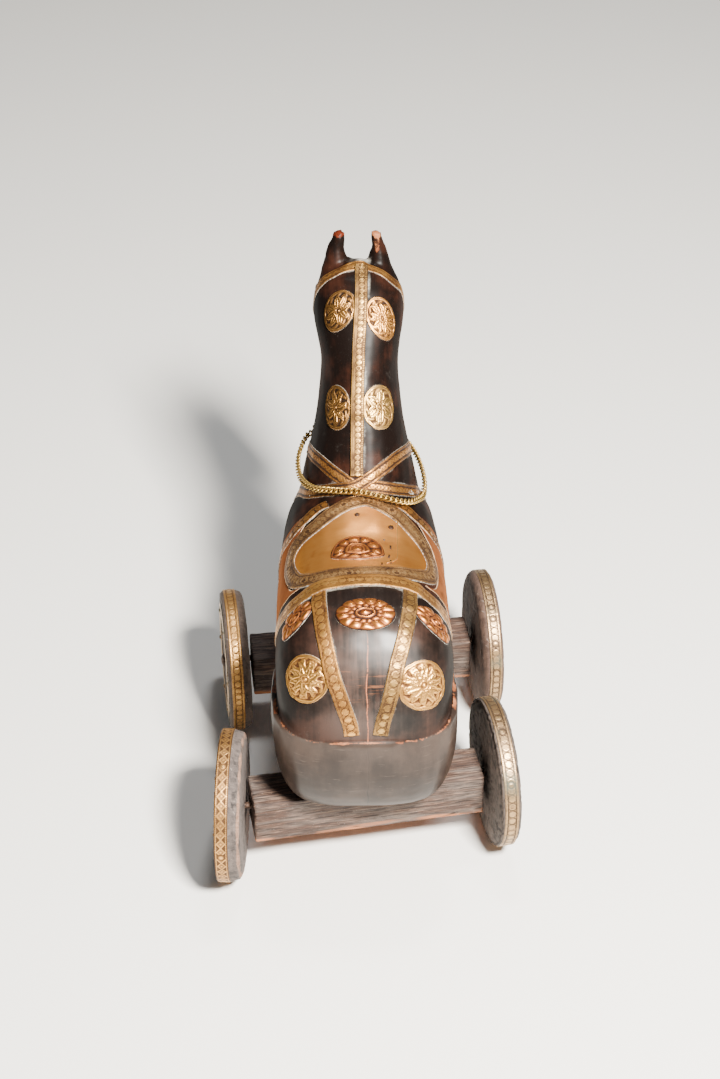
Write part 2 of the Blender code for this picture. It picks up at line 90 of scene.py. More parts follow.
class Shade:
    # a socket of a material's tree, with maths written as plain sums
    def __init__(self, tree, socket):
        self.tree = tree
        self.socket = socket

    def node(self, kind, settings=None, values=None, out=0):
        made = self.tree.nodes.new("ShaderNode" + kind)
        settings = dict(settings or {})
        stops = settings.pop("stops", None)
        for key, value in settings.items():
            setattr(made, key, value)
        if stops:
            ramp = made.color_ramp
            while len(ramp.elements) < len(stops):
                ramp.elements.new(0.5)
            for element, (place, colour) in zip(ramp.elements, stops):
                element.position = place
                element.color = (*colour, 1.0)
        for key, value in (values or {}).items():
            if isinstance(value, Shade):
                self.tree.links.new(value.socket, made.inputs[key])
            else:
                made.inputs[key].default_value = value
        return Shade(self.tree, made.outputs[out])

    def sum(self, operation, *values):
        return self.node("Math", {"operation": operation}, dict(enumerate(values)))

    def __add__(self, other):
        return self.sum("ADD", self, other)

    __radd__ = __add__

    def __sub__(self, other):
        return self.sum("SUBTRACT", self, other)

    def __rsub__(self, other):
        return self.sum("SUBTRACT", other, self)

    def __mul__(self, other):
        return self.sum("MULTIPLY", self, other)

    __rmul__ = __mul__

    def __abs__(self):
        return self.sum("ABSOLUTE", self)

    def over(self, low, high):
        # 0 at one value, 1 at the other, smooth between
        return self.node("MapRange", {"interpolation_type": "SMOOTHSTEP"},
                         {"Value": self, "From Min": low, "From Max": high})

    def mixed(self, first, second):
        # the first colour where this is 0, the second where it is 1
        first, second = [(*value, 1.0) if isinstance(value, tuple) else value for value in (first, second)]
        return self.node("Mix", {"data_type": "RGBA"}, {0: self, 6: first, 7: second}, 2)

    def ramp(self, *stops):
        return self.node("ValToRGB", {"stops": stops}, {0: self})

    def cloud(self, scale, detail=3.0, roughness=0.5):
        return self.node("TexNoise", values={"Vector": self, "Scale": scale, "Detail": detail,
                                             "Roughness": roughness})

    def cells(self, scale):
        return self.node("TexVoronoi", values={"Vector": self, "Scale": scale})

    def streaks(self, scale, detail=3.0, roughness=0.5, turn=0.0):
        # turned about the upright; the larger a number of the scale, the finer the streaks are that way
        turned = self.node("Mapping", {"vector_type": "TEXTURE"},
                           {"Vector": self, "Rotation": (0, 0, turn), "Scale": [1 / side for side in scale]})
        return turned.cloud(1.0, detail, roughness)

    def axes(self):
        parts = self.tree.nodes.new("ShaderNodeSeparateXYZ")
        self.tree.links.new(self.socket, parts.inputs[0])
        return [Shade(self.tree, socket) for socket in parts.outputs]

    def painted(self, name):
        return self.node("Attribute", {"attribute_name": name}, out=2)


def newLook(name):
    made = bpy.data.materials.new(name)
    made.use_nodes = True
    return made, Shade(made.node_tree, None).node("TexCoord", out=3)


def finishLook(made, colour, roughness, metallic=0.0, height=None, depth=0.3, strength=0.6, gloss=None, coat=0.0):
    # depth is in mm; gloss holds settings that don't vary over the piece
    shader = made.node_tree.nodes["Principled BSDF"]
    for key, value in (gloss or {}).items():
        shader.inputs[key].default_value = value
    varying = {"Base Color": colour, "Roughness": roughness, "Metallic": metallic, "Coat Weight": coat}
    for key, value in varying.items():
        if isinstance(value, Shade):
            made.node_tree.links.new(value.socket, shader.inputs[key])
        else:
            shader.inputs[key].default_value = (*value, 1.0) if isinstance(value, tuple) else value
    if height:
        raised = height.node("Bump", values={"Height": height, "Strength": strength, "Distance": depth * mm})
        made.node_tree.links.new(raised.socket, shader.inputs["Normal"])
    return made


# the carved horse

horseValues = {
    "voxel": 1.15,         # mm between points of the carving
    "smoothing": 16,       # rounds that take the flats out
    "most": 0.8,           # mm, how far the smoothing may move a point
    "mostAtEars": 0.45,    # mm
    "highest": 265.6,      # mm, top of the ears
    "crown": 7.0,          # mm, the rise between the ears
    "headWider": (2.9, 1.9),    # mm, left and right
    # mm along x, moves of each ear's outer and inner edge at the heights given
    "earHeights": (240, 246, 251, 257.5, 264),
    "ears": {-1: ((0, 0, 0.8, -1.2, -1.0), (0, 0, -1.3, -1.3, 0.0)),
             1: ((0, -1.9, -2.7, -2.1, -1.8), (0, 0, -1.0, -0.7, -2.5))},
    # mm, how far along and up, then the eye's slope in degrees
    "face": {"eye": (194, 226), "lean": 24, "bulge": 1.3, "nostril": (215, 153), "hollow": 1.7, "lips": 8.5},
    "ledge": 101.0,        # mm, height of the proud lower wood at the rear
    "toolMarks": 0.22,     # mm
    "earTip": 262.5,       # mm, where the broken wood starts
    "darkest": (0.0045, 0.0027, 0.0022),
    "brown": (0.0260, 0.0090, 0.0052),
    "rawWood": (0.105, 0.024, 0.008),     # where it is broken
    "polish": (0.40, 0.38, 0.34),         # old and pale, as a film and along the metal
    "gloss": {"Specular IOR Level": 0.0, "Coat Roughness": 0.36, "Coat IOR": 1.5},
}


def carvedForm():
    source = bmesh.new()
    source.from_mesh(frame["nodes"]["horse"].data)
    bmesh.ops.remove_doubles(source, verts=source.verts, dist=0.02 * mm)
    mesh = bpy.data.meshes.new("carving")
    source.to_mesh(mesh)
    source.free()
    thing = placed("carving", mesh)
    remesh = thing.modifiers.new("fine", "REMESH")
    remesh.mode = "VOXEL"
    remesh.voxel_size = horseValues["voxel"] * mm
    view = bpy.context.evaluated_depsgraph_get()
    form = bmesh.new()
    form.from_mesh(thing.evaluated_get(view).to_mesh())
    bpy.data.objects.remove(thing)
    ledge = horseValues["ledge"] * mm
    before = [vert.co.copy() for vert in form.verts]
    for turn in range(horseValues["smoothing"]):
        # the ledge, the lips and the ears keep their edges
        soft = [v for v in form.verts
                if not (abs(v.co.z - ledge) < 2.6 * mm and v.co.y < spot(0, 62, 0).y and turn > 1)
                and not (v.co.z > 249 * mm and abs(v.co.x) > 5 * mm and turn > 3)
                and not (v.co.z < 150 * mm and v.co.y > spot(0, 200, 0).y and turn > 3)]
        bmesh.ops.smooth_vert(form, verts=soft, factor=0.5, use_axis_x=True, use_axis_y=True, use_axis_z=True)
    for vert, start in zip(form.verts, before):
        moved = vert.co - start
        most = horseValues["mostAtEars" if vert.co.z > 250 * mm else "most"] * mm
        if moved.length > most:
            vert.co = start + moved * (most / moved.length)
    crown = spot(1.2, 178, 251)
    for vert in form.verts:
        high = vert.co.z / mm
        if high > 200 and vert.co.y > spot(0, 110, 0).y:
            wide = horseValues["headWider"][0 if vert.co.x < 0 else 1] * mm
            share = stepped(high, 204, 228) * (1 - stepped(high, 250, 263)) * min(1.0, abs(vert.co.x) / (12 * mm))
            vert.co.x += math.copysign(wide * share, vert.co.x)
        off = (vert.co - crown) / mm
        if vert.co.z > 240 * mm and abs(off.x) < 14:
            rise = horseValues["crown"] * mm * bump(off.x, 6.5) * bump(off.y, 6.5)
            vert.co.z += rise * clamped((off.z + 8) / 8)
    fitEars(form)
    form.normal_update()
    depth = horseValues["toolMarks"] * mm
    for vert in form.verts:
        vert.co += vert.normal * (noise.noise(vert.co * 70) * depth + noise.noise(vert.co * 210) * depth * 0.35)
    hollowEars(form)
    carveFace(form)
    return form


def stepped(value, low, high):
    # 0 below low, 1 above high, and an even curve between
    share = clamped((value - low) / (high - low))
    return share * share * (3 - 2 * share)


def fitEars(form):
    # each ear's edges go where the photo shows them
    marks = horseValues["earHeights"]
    heights = np.arange(marks[0], marks[-1] + 2)
    for side, (outMoves, inMoves) in horseValues["ears"].items():
        ear = [v for v in form.verts if v.co.z > marks[0] * mm and v.co.x * side > 3.5 * mm]
        edges = [[v.co.x * side / mm for v in ear if abs(v.co.z / mm - height) < 1.6] or [6.0, 8.0]
                 for height in heights]
        inner, outer = [min(edge) for edge in edges], [max(edge) for edge in edges]
        for vert in ear:
            high = vert.co.z / mm
            into, out = np.interp(high, heights, inner), np.interp(high, heights, outer)
            share = (vert.co.x * side / mm - into) / max(out - into, 1.0)
            inMove, outMove = np.interp(high, marks, inMoves), np.interp(high, marks, outMoves)
            vert.co.x += (inMove + (outMove - inMove) * share) * mm
            vert.co.z += 0.6 * stepped(high, 258, 263) * mm


def hollowEars(form):
    # each ear is gouged on its front, and its tip is broken off ragged
    for side in (-1, 1):
        middle = spot(side * 11.4, 189.5, 254)
        for vert in form.verts:
            if vert.co.z > 243 * mm and vert.co.x * side > 3 * mm:
                share = clamped((vert.co.z / mm - 243) / 20)
                away = math.hypot((vert.co.x - middle.x) / (3.6 - 2.0 * share), (vert.co.z - middle.z) / 12) / mm
                if vert.co.y > spot(0, 184, 0).y and away < 1:
                    vert.co.y -= (1 - away * away) * (3.2 - 1.6 * share) * mm
        for vert in form.verts:
            if vert.co.z > horseValues["earTip"] * mm and vert.co.x * side > 3 * mm:
                vert.co.z = min(vert.co.z + noise.noise(vert.co * 900) * 1.6 * mm, horseValues["highest"] * mm)


def carveFace(form):
    # plainly carved on each side: an almond eye, a nostril and the line of the lips
    face = horseValues["face"]
    lean = math.radians(face["lean"])
    for vert in form.verts:
        if vert.co.y < spot(0, 180, 0).y or abs(vert.co.x) < 4 * mm:
            continue
        eye = (vert.co - spot(0, *face["eye"])) / mm
        nose = (vert.co - spot(0, *face["nostril"])) / mm
        along = eye.z * math.cos(lean) - eye.y * math.sin(lean)
        across = eye.y * math.cos(lean) + eye.z * math.sin(lean)
        away = math.hypot(along / 5.4, across / 3.4)
        rise = face["bulge"] * max(0, 1 - away * away) - 0.6 * bump(away - 1.25, 0.35)
        rise -= face["hollow"] * max(0, 1 - math.hypot(nose.y / 2.6, nose.z / 3.6) ** 2)
        lips = nose.z + face["lips"] - math.tan(math.radians(12)) * nose.y
        if nose.y > -9 and abs(vert.normal.x) > 0.25:
            rise -= 1.1 * bump(lips, 1.3)
        vert.co.x += math.copysign(rise, vert.co.x) * mm


def carvedWood():
    made, place = newLook("carvedWood")
    x, y, z = place.axes()
    haze = place.painted("haze")
    raw = place.painted("rawWood")
    block = place.painted("lowerBlock")
    fibres = place.streaks((420, 30, 30), 4.0, 0.65)
    patches = place.cloud(34.0, 4.0, 0.6)
    grain = place.cloud(1700.0, 2.0, 0.6)
    specks = place.cloud(700.0, 2.0, 0.7)
    worn = (patches * 0.8 + fibres * 0.2).over(0.44, 0.66)
    wood = worn.mixed(horseValues["darkest"], horseValues["brown"])
    # red-brown wear down the middle of the rump, where the crack runs
    rump = (1 - abs(x).over(0.004, 0.018)) * (1 - y.over(-0.096, -0.084)) * (1 - block)
    rear = (1 - y.over(-0.090, -0.070)) * patches.over(0.40, 0.60) * (1 - block)
    wood = (rear * 0.35).mixed(wood, (0.026, 0.0115, 0.0080))
    wood = (rump * fibres.over(0.42, 0.68) * 0.45).mixed(wood, (0.055, 0.022, 0.013))
    across = place.streaks((50, 50, 620), 4.0, 0.7).over(0.53, 0.62)
    crossing = (z.over(0.121, 0.126) - z.over(0.136, 0.142)) * across
    wood = (rump * crossing * 0.55).mixed(wood, (0.20, 0.070, 0.025))
    lower = (place.streaks((260, 260, 40), 4.0, 0.6) * 0.2 + patches * 0.8).over(0.35, 0.65)
    wood = block.mixed(wood, lower.mixed((0.0140, 0.0085, 0.0065), (0.0400, 0.0255, 0.0190)))
    scuffs = place.streaks((90, 90, 700), 3.0, 0.7).over(0.60, 0.72) * block * 0.35
    wood = scuffs.mixed(wood, (0.10, 0.07, 0.055))
    chips = place.cells(120.0).over(0.10, 0.04) * place.cloud(24.0, 1.0).over(0.56, 0.62) * block
    wood = chips.mixed(wood, (0.46, 0.28, 0.17))
    wander = place.cloud(60.0, 2.0)
    crackLine = abs(x - 0.0008 + (wander - 0.5) * 0.0035)
    crack = crackLine.over(0.00042, 0.00010) * (1 - y.over(-0.100, -0.090))
    wood = (crack * (1 - block) * specks.over(0.30, 0.45)).mixed(wood, (0.34, 0.105, 0.040))
    wood = (crack * block * z.over(0.075, 0.065)).mixed(wood, (0.010, 0.006, 0.005))
    rawTone = place.streaks((200, 200, 60), 3.0).over(0.3, 0.7)
    bare = (raw * 1.2 + (specks - 0.5) * 1.0).over(0.42, 0.72)
    # the left ear's tip is darker and redder than the other raw wood
    leftTip = z.over(0.250, 0.254) * (1 - x.over(-0.002, 0.002))
    rawColour = rawTone.mixed(horseValues["rawWood"], (0.30, 0.115, 0.048))
    tipColour = specks.over(0.3, 0.6).mixed((0.030, 0.006, 0.003), (0.095, 0.016, 0.006))
    wood = bare.mixed(wood, leftTip.mixed(rawColour, tipColour))
    wide = place.cloud(85.0, 3.0, 0.6)
    dusty = (haze * (0.30 + specks * 1.1) * wide.over(0.30, 0.72)).over(0.16, 0.95) * 0.60
    film = (place.cloud(150.0, 4.0, 0.7).over(0.60, 0.85) * 0.045 + grain.over(0.66, 0.78) * 0.05) * (1 - block * 0.5)
    # painted sheen: a pale highlight mixed into the colour over the polished patch of the rump
    paintedSheen = place.painted("polish") * (patches * 0.75 + fibres * 0.25).over(0.34, 0.62) * (1 - block)
    wood = (paintedSheen * 0.40).mixed(wood, (0.140, 0.100, 0.082))
    wood = (dusty * (1 - leftTip) + film).mixed(wood, horseValues["polish"])
    roughness = 0.45 + patches * 0.20 + dusty * 0.2
    shine = 0.14 + place.painted("polish") * (0.70 + patches * 0.6) + block * 0.42
    height = fibres * 0.30 + grain * 0.45 + specks * 0.25 - crack * 1.4
    return finishLook(made, wood, roughness, 0.0, height, 0.20, 0.6, horseValues["gloss"], shine)


horseForm = carvedForm()
bmesh.ops.recalc_face_normals(horseForm, faces=horseForm.faces)
skin = BVHTree.FromBMesh(horseForm)
laidTrees = []
rimPoints = []
report(f"horse carved, {len(horseForm.faces)} faces")


def onSkin(point):
    place, normal, _, _ = skin.find_nearest(point)
    return place, normal


def reachOver(place, normal):
    # how high the metal already laid stands over a place on the wood
    reach = 5.0
    start = place + normal * reach * mm
    top = 0.0
    for tree in laidTrees:
        hit = tree.ray_cast(start, -normal, reach * mm)[0]
        if hit:
            top = max(top, reach * mm - (start - hit).length)
    return top


# embossed sheet metal

def ropeEdge(s, x, width, inset=0.8):
    return bump(abs(x) - (width / 2 - inset), 0.28) * (0.6 + 0.4 * math.sin(2 * math.pi * s / 1.05))


def ground(s, x, width, level):
    # the field between the figures, with a groove inside each beaded edge
    field = level + 0.22 * noise.noise(Vector((s * 0.9, x * 0.9, width)))
    return field - 0.45 * bump(abs(x) - width / 2 + 1.35, 0.2)


def inCell(s, pitch):
    # how far a place lies from the middle of its figure
    return s % pitch - pitch / 2


def struck(s, width, pitch, level):
    # each figure is struck a little higher or lower than the next
    return level + 0.5 * noise.noise(Vector((s // pitch * 3.7, width, 0.5)))


def circleChain(s, x, width, pitch):
    away = math.hypot(inCell(s, pitch), x)
    flat = struck(s, width, pitch, 0.62)
    disc = flat if away < 0.27 * pitch else 0.0
    field = ground(s, x, width, 0.42) - 0.45 * bump(away - 0.45 * pitch, 0.17)
    return max(disc, 0.95 * bump(away - 0.35 * pitch, 0.22), field, ropeEdge(s, x, width))


def crestRow(s, x, width, pitch):
    # a turned edge on the left, a row of rounds, and beads on the right
    away = math.hypot(inCell(s, pitch), x - 0.25)
    flat = struck(s, width, pitch, 0.60)
    rounds = max(flat * (away < 0.8), bump(away - 1.08, 0.20), 0.26 - 0.3 * bump(away - 1.45, 0.2))
    beads = bump(x - (width / 2 - 0.75), 0.33) * (0.45 + 0.55 * math.sin(2 * math.pi * s / 1.15))
    return max(rounds, beads, 0.9 * bump(x + width / 2 - 0.25, 0.30), 0.55 * bump(x + width / 2 - 1.35, 0.16))


def ovalRow(s, x, width, pitch):
    # ovals between a row of beads and two fine lines
    away = math.hypot(inCell(s, pitch) * 0.62, x + 0.4)
    flat = struck(s, width, pitch, 0.65)
    ovals = max(flat * (away < 0.85), bump(away - 1.05, 0.20), 0.42 - 0.4 * bump(away - 1.35, 0.18))
    beads = bump(x + width * 0.5 - 1.5, 0.36) * (0.4 + 0.6 * math.sin(2 * math.pi * s / 1.3))
    lines = max(bump(x - width / 2 + 0.5, 0.22), 0.9 * bump(x - width / 2 + 1.5, 0.22))
    return max(ovals, beads, lines, 0.8 * bump(x + width / 2 - 0.4, 0.25))


def ovalChain(s, x, width, pitch):
    away = math.hypot(inCell(s, pitch) * 0.62, x)
    return max(bump(away - 1.15, 0.24), 0.8 * (away < 0.55), 0.8 * ropeEdge(s, x, width, 0.6),
               ground(s, x, width, 0.34) - 0.3 * bump(away - 1.5, 0.2))


def diamondChain(s, x, width, pitch):
    along = abs(inCell(s, pitch))
    share = along / (pitch / 2) + abs(x) / (width / 2 - 1.3)
    return max(bump(share - 1, 0.13), 0.8 * bump(math.hypot(along, x), 0.6), 0.3 * (share < 0.8),
               ropeEdge(s, x, width))


def vineBand(s, x, width, pitch):
    stem = 0.20 * width * math.sin(2 * math.pi * s / pitch)
    half = s % (pitch / 2) - pitch / 4
    turn = 1 if (s // (pitch / 2)) % 2 else -1
    leaf = bump(math.hypot(half * 0.8, x - turn * 0.10 * width), 0.62)
    away = math.hypot(inCell(s, pitch * 4), (x - 0.2) * 1.2)
    height = max(bump(x - stem, 0.24), 0.9 * leaf, 0.8 * bump(abs(x) - width / 2 + 1.7, 0.2))
    if away < 1.9:
        # a nail in its dimple
        height = max(bump(away - 1.45, 0.25), 0.35 * bump(away, 0.6))
    return max(height, ropeEdge(s, x, width, 0.7))


def borderRow(s, x, width, pitch):
    # rounds between lines and beads, with a nail in its dimple now and then
    away = math.hypot(inCell(s, pitch * 8), (x - 0.4) * 1.2)
    if away < 2.0:
        return max(bump(away - 1.6, 0.28), 0.30 * bump(away, 0.7))
    middle = abs(inCell(s, pitch)) + abs(x) * 0.9
    field = ground(s, x, width, 0.36) - 0.25 * bump(middle - 1.6, 0.2)
    return max(0.8 * (middle < 0.7), bump(middle - 1.25, 0.22), field, 0.9 * bump(abs(x) - 2.15, 0.20),
               ropeEdge(s, x, width, 0.75))


def plainBand(s, x, width, pitch):
    wave = 0.16 * width * math.sin(2 * math.pi * s / pitch)
    return max(0.8 * bump(x - wave, 0.35), ground(s, x, width, 0.38), ropeEdge(s, x, width, 0.6),
               0.7 * bump(math.hypot(inCell(s, pitch), x), 0.5))


def leaf(x, y, turn, start, length, fat):
    # how far inside one leaf of a spray a place lies: 1 on its midrib, 0 on its edge
    along = x * math.cos(turn) + y * math.sin(turn) - start
    across = -x * math.sin(turn) + y * math.cos(turn)
    share = clamped(along / length)
    edge = fat * math.sin(math.pi * share ** 0.75) + 0.01
    return 1 - (abs(across) / edge if 0 < share < 1 else 1.6 + abs(share - along / length) * 6)


def spray(x, y, leaves, lean):
    # veined leaves round a small flower, outlined by dark lines, inside a double rim
    away = math.hypot(x, y)
    angle = math.atan2(y, x)
    best, veins = -1.0, 0.0
    for ring, start, length, fat in ((0.25, 0.15, 0.64, 0.20), (0.75, 0.36, 0.46, 0.15)):
        for k in range(leaves):
            turn = 2 * math.pi * (k + ring) / leaves + (lean if ring < 0.5 else -lean) * (0.4 + away)
            inside = leaf(x, y, turn, start, length, fat)
            if inside > best:
                best = inside
                off = math.atan2(math.sin(angle - turn), math.cos(angle - turn)) * away
                veins = 0.8 * bump(off, 0.022) + 0.4 * bump(math.sin(away * 30 + abs(off) * 20), 0.4)
    height = 0.34 + 0.26 * math.sin(angle * 11 + away * 19)
    if best > 0:
        height = 0.55 + 0.45 * min(1.0, best * 2.2) - 0.6 * veins
    height -= 0.75 * bump(best, 0.16)
    boss = max(bump(away, 0.075), 0.9 * bump(away - 0.165, 0.035))
    height = height if away > 0.22 else boss
    if away > 0.84:
        height = max(0.05, bump(away - 0.895, 0.030), 0.9 * bump(away - 0.975, 0.030))
    return clamped(height)


def rosette(x, y, petals, lean):
    # round lobes about an eye-shaped boss, with a beaded ring between them
    away = math.hypot(x, y)
    turn = math.atan2(y, x)
    side = abs(math.cos(turn * petals / 2 + lean))
    lobe = max(0.0, 1 - ((away - 0.76) / 0.22) ** 2) ** 0.5 * side ** 0.55
    inner = 0.6 * max(0.0, 1 - ((away - 0.47) / 0.10) ** 2) ** 0.5 * abs(math.sin(turn * petals / 2 + lean)) ** 0.6
    eye = max(bump(away, 0.12), 0.8 * bump(away - 0.27, 0.045))
    return max(lobe, inner, eye)


def sheetForm(rows, columns, place, wrapRows, wrapColumns):
    # a closed skin of rows by columns; place(row, column) gives a point, its relief and its nearness to the rim,
    # and is asked once for places that meet at a seam
    form = bmesh.new()
    bmesh.ops.create_grid(form, x_segments=columns, y_segments=rows, size=0.5)
    relief = form.verts.layers.float.new("relief")
    rim = form.verts.layers.float.new("rim")
    found = {}
    for vert in form.verts:
        key = round((vert.co.y + 0.5) * rows) % wrapRows, round((vert.co.x + 0.5) * columns) % wrapColumns
        if key not in found:
            found[key] = place(*key)
        vert.co, vert[relief], vert[rim] = found[key]
    bmesh.ops.remove_doubles(form, verts=form.verts, dist=0.004 * mm)
    bmesh.ops.recalc_face_normals(form, faces=form.faces)
    return form


def laySheet(name, form, look, nodes):
    laidTrees.append(BVHTree.FromBMesh(form))
    newPiece(name, form, "toy", look, nodes)


def uneven(point, amount):
    # hand work: the pattern wanders a little
    return (noise.noise(point * 260) * amount, noise.noise(point * 260 + Vector((9, 9, 9))) * amount)


def smoothLine(route, closed, count):
    points = [spot(*place) for place in route]
    points = points[-1:] + points + points[:2] if closed else [points[0]] + points + [points[-1]]
    line = []
    for a, b, c, d in zip(points, points[1:], points[2:], points[3:]):
        for k in range(count):
            t = k / count
            bend = (c - a) * t + (2 * a - 5 * b + 4 * c - d) * t * t + (3 * b - a - 3 * c + d) * t ** 3
            line.append(b + bend / 2)
    if not closed:
        line.append(points[-2])
    return line


def evenLine(points, step, closed):
    # the same line, its points a step apart
    points = points + points[:1] if closed else points
    lengths = np.cumsum([0.0] + [(b - a).length for a, b in zip(points, points[1:])])
    count = max(4, round(lengths[-1] / step))
    wanted = np.linspace(0, lengths[-1], count + 1)
    if closed:
        wanted = wanted[:-1]
    rows = np.array([point[:] for point in points])
    return [Vector(row) for row in np.stack([np.interp(wanted, lengths, rows[:, k]) for k in range(3)], 1)]


def softened(values, spread, closed):
    # the highest value nearby, then evened out
    for action in (max, lambda window: sum(window) / len(window)):
        count = len(values)
        picked = []
        for i in range(count):
            window = [values[j % count] for j in range(i - spread, i + spread + 1) if closed or 0 <= j < count]
            picked.append(action(window))
        values = picked
    return values


# mm, but across is a number of points; the skirt is the rim's reach outside the plate, and sinks into the wood
stripValues = {"step": 0.42, "across": 15, "thickness": 0.32, "skirt": 0.28, "sink": 0.15}


def layStrip(name, route, width, pattern, pitch, look, nodes, closed=False, raised=0.0, boss=0.34,
             haze=(0.75, 0.75), lip=(0.28, 0.28)):
    # width, pitch, raised, boss and lip are in mm; haze says how far old polish lies beside each edge
    line = [onSkin(point)[0] for point in smoothLine(route, closed, 24)]
    line = evenLine(line, stripValues["step"] * mm, closed)
    spots = [onSkin(point) for point in line]
    count = len(spots)
    frames = []
    for i, (place, normal) in enumerate(spots):
        after = spots[(i + 2) % count][0] if closed else spots[min(i + 2, count - 1)][0]
        before = spots[i - 2][0] if closed else spots[max(i - 2, 0)][0]
        frames.append((place, (after - before).cross(normal).normalized()))
    tops = []
    for place, side in frames:
        tops.append(max(reachOver(*onSkin(place + side * width * share * mm / 2)) for share in (-1, -0.5, 0, 0.5, 1)))
    tops = softened(tops, 4, closed)
    across = stripValues["across"]
    last = count if closed else count - 1
    if closed:
        length = count * stripValues["step"]
        pitch = length / round(length / pitch)

    def place(row, column):
        middle, side = frames[row]
        end = not closed and row in (0, count - 1)
        skirt = column in (0, across + 1)
        share = -1 if column == 0 else 1 if column == across + 1 else 2 * (column - 1) / (across - 1) - 1
        x = share * width / 2
        spread = x + (-lip[0] if column == 0 else lip[1] if skirt else 0)
        flat, normal = onSkin(middle + side * spread * mm)
        if skirt or end:
            rimPoints.append((flat, haze[0 if column == 0 else 1]))
            return flat - normal * stripValues["sink"] * mm, 0.0, 1.0
        shift = uneven(flat, 0.22)
        height = pattern(row * stripValues["step"] + shift[0], x + shift[1], width, pitch)
        height *= 0.8 + 0.4 * noise.noise(flat * 130)
        lift = tops[row] / mm + stripValues["thickness"] + raised + boss * height
        return flat + normal * lift * mm, min(1.0, height), 0.55 if abs(share) > 0.93 else 0.0

    laySheet(name, sheetForm(last, across + 2, place, count, across + 2), look, nodes)


def layPlate(name, rim, pattern, look, nodes, rings, boss, dome=0.0):
    # a plate inside a closed rim of places; the pattern takes x and y as shares of the way to the rim
    middle = sum(rim, Vector()) / len(rim)
    count = len(rim)

    def place(row, column):
        if row == rings + 2:
            flat, normal = onSkin(middle)
            return flat - normal * stripValues["sink"] * 2 * mm, 0.0, 1.0
        edge = rim[column]
        if row == rings + 1:
            flat, normal = onSkin(edge + (edge - middle).normalized() * stripValues["skirt"] * mm)
            rimPoints.append((flat, 0.6))
            return flat - normal * stripValues["sink"] * mm, 0.0, 1.0
        share = row / rings
        flat, normal = onSkin(middle.lerp(edge, share))
        shift = uneven(flat, 0.06)
        turn = 2 * math.pi * column / count
        height = pattern(share * math.cos(turn) + shift[0], share * math.sin(turn) + shift[1])
        lift = reachOver(flat, normal) / mm + stripValues["thickness"] + boss * height + dome * (1 - share ** 2)
        return flat + normal * lift * mm, min(1.0, height), 0.6 if row == rings else 0.0

    laySheet(name, sheetForm(rings + 2, count, place, rings + 3, count), look, nodes)


def ovalRim(centre, halfWidth, halfLength, lean):
    place, normal = onSkin(spot(*centre))
    along = Vector((0, 1, 1)) - normal * normal.dot(Vector((0, 1, 1)))
    along = Matrix.Rotation(math.radians(lean), 3, normal) @ along.normalized()
    across = along.cross(normal)
    turns = [2 * math.pi * k / 128 for k in range(128)]
    return [place + (across * halfWidth * math.cos(turn) + along * halfLength * math.sin(turn)) * mm
            for turn in turns]


metalValues = {
    "brass": {"bright": (0.50, 0.235, 0.055), "mid": (0.24, 0.100, 0.022), "recess": (0.020, 0.008, 0.004)},
    # darker brass for the two left neck medallions: painted shade on the side away from the key light
    "shadedBrass": {"bright": (0.31, 0.155, 0.042), "mid": (0.12, 0.054, 0.014), "recess": (0.012, 0.006, 0.003)},
    "gold": {"bright": (0.66, 0.345, 0.088), "mid": (0.38, 0.175, 0.038), "recess": (0.060, 0.022, 0.007)},
    "dullGold": {"bright": (0.50, 0.30, 0.090), "mid": (0.26, 0.140, 0.038), "recess": (0.045, 0.020, 0.008)},
    "brown": {"bright": (0.60, 0.36, 0.150), "mid": (0.30, 0.155, 0.055), "recess": (0.040, 0.018, 0.009)},
    "bronze": {"bright": (0.56, 0.205, 0.048), "mid": (0.25, 0.076, 0.019), "recess": (0.018, 0.006, 0.004)},
    "chain": {"bright": (0.44, 0.285, 0.080), "mid": (0.30, 0.183, 0.050), "recess": (0.05, 0.03, 0.012)},
    "goldTyre": {"bright": (0.68, 0.385, 0.125), "mid": (0.42, 0.215, 0.065), "recess": (0.085, 0.040, 0.015)},
    "dullTyre": {"bright": (0.48, 0.31, 0.145), "mid": (0.25, 0.155, 0.078), "recess": (0.045, 0.027, 0.016)},
    "seat": {"bright": (0.98, 0.43, 0.105), "mid": (0.92, 0.34, 0.065), "stain": (0.58, 0.165, 0.027)},
    "wing": {"bright": (0.27, 0.096, 0.036), "mid": (0.115, 0.038, 0.017), "stain": (0.018, 0.008, 0.006)},
    "residue": (0.56, 0.52, 0.45),
}


def embossedLook(name, tones, dusty=0.0, green=0.0):
    made, place = newLook(name)
    relief = place.painted("relief")
    rim = place.painted("rim")
    patches = place.cloud(95.0, 3.0, 0.6)
    specks = place.cloud(1300.0, 2.0, 0.6)
    lit = (relief + (patches - 0.5) * 0.35 + (specks - 0.5) * 0.25).over(0.04, 0.86)
    colour = lit.ramp((0.0, tones["recess"]), (0.45, tones["mid"]), (1.0, tones["bright"]))
    if green:
        colour = (place.cloud(70.0, 3.0).over(0.50, 0.70) * green).mixed(colour, (0.20, 0.25, 0.20))
    residue = (rim * 1.05 + (specks - 0.5) * 0.7).over(0.50, 1.05) * 0.75
    crumbs = (1 - relief).over(0.86, 1.0) * specks.over(0.60, 0.75) * 0.16
    dust = (residue + crumbs + patches.over(0.45, 0.7) * dusty).over(0.0, 1.0)
    colour = dust.mixed(colour, metalValues["residue"])
    metallic = (1 - dust) * (0.75 + relief * 0.25)
    roughness = 0.34 + (1 - lit) * 0.25 + dust * 0.30
    return finishLook(made, colour, roughness, metallic, specks * 0.5 + patches, 0.12, 0.5)


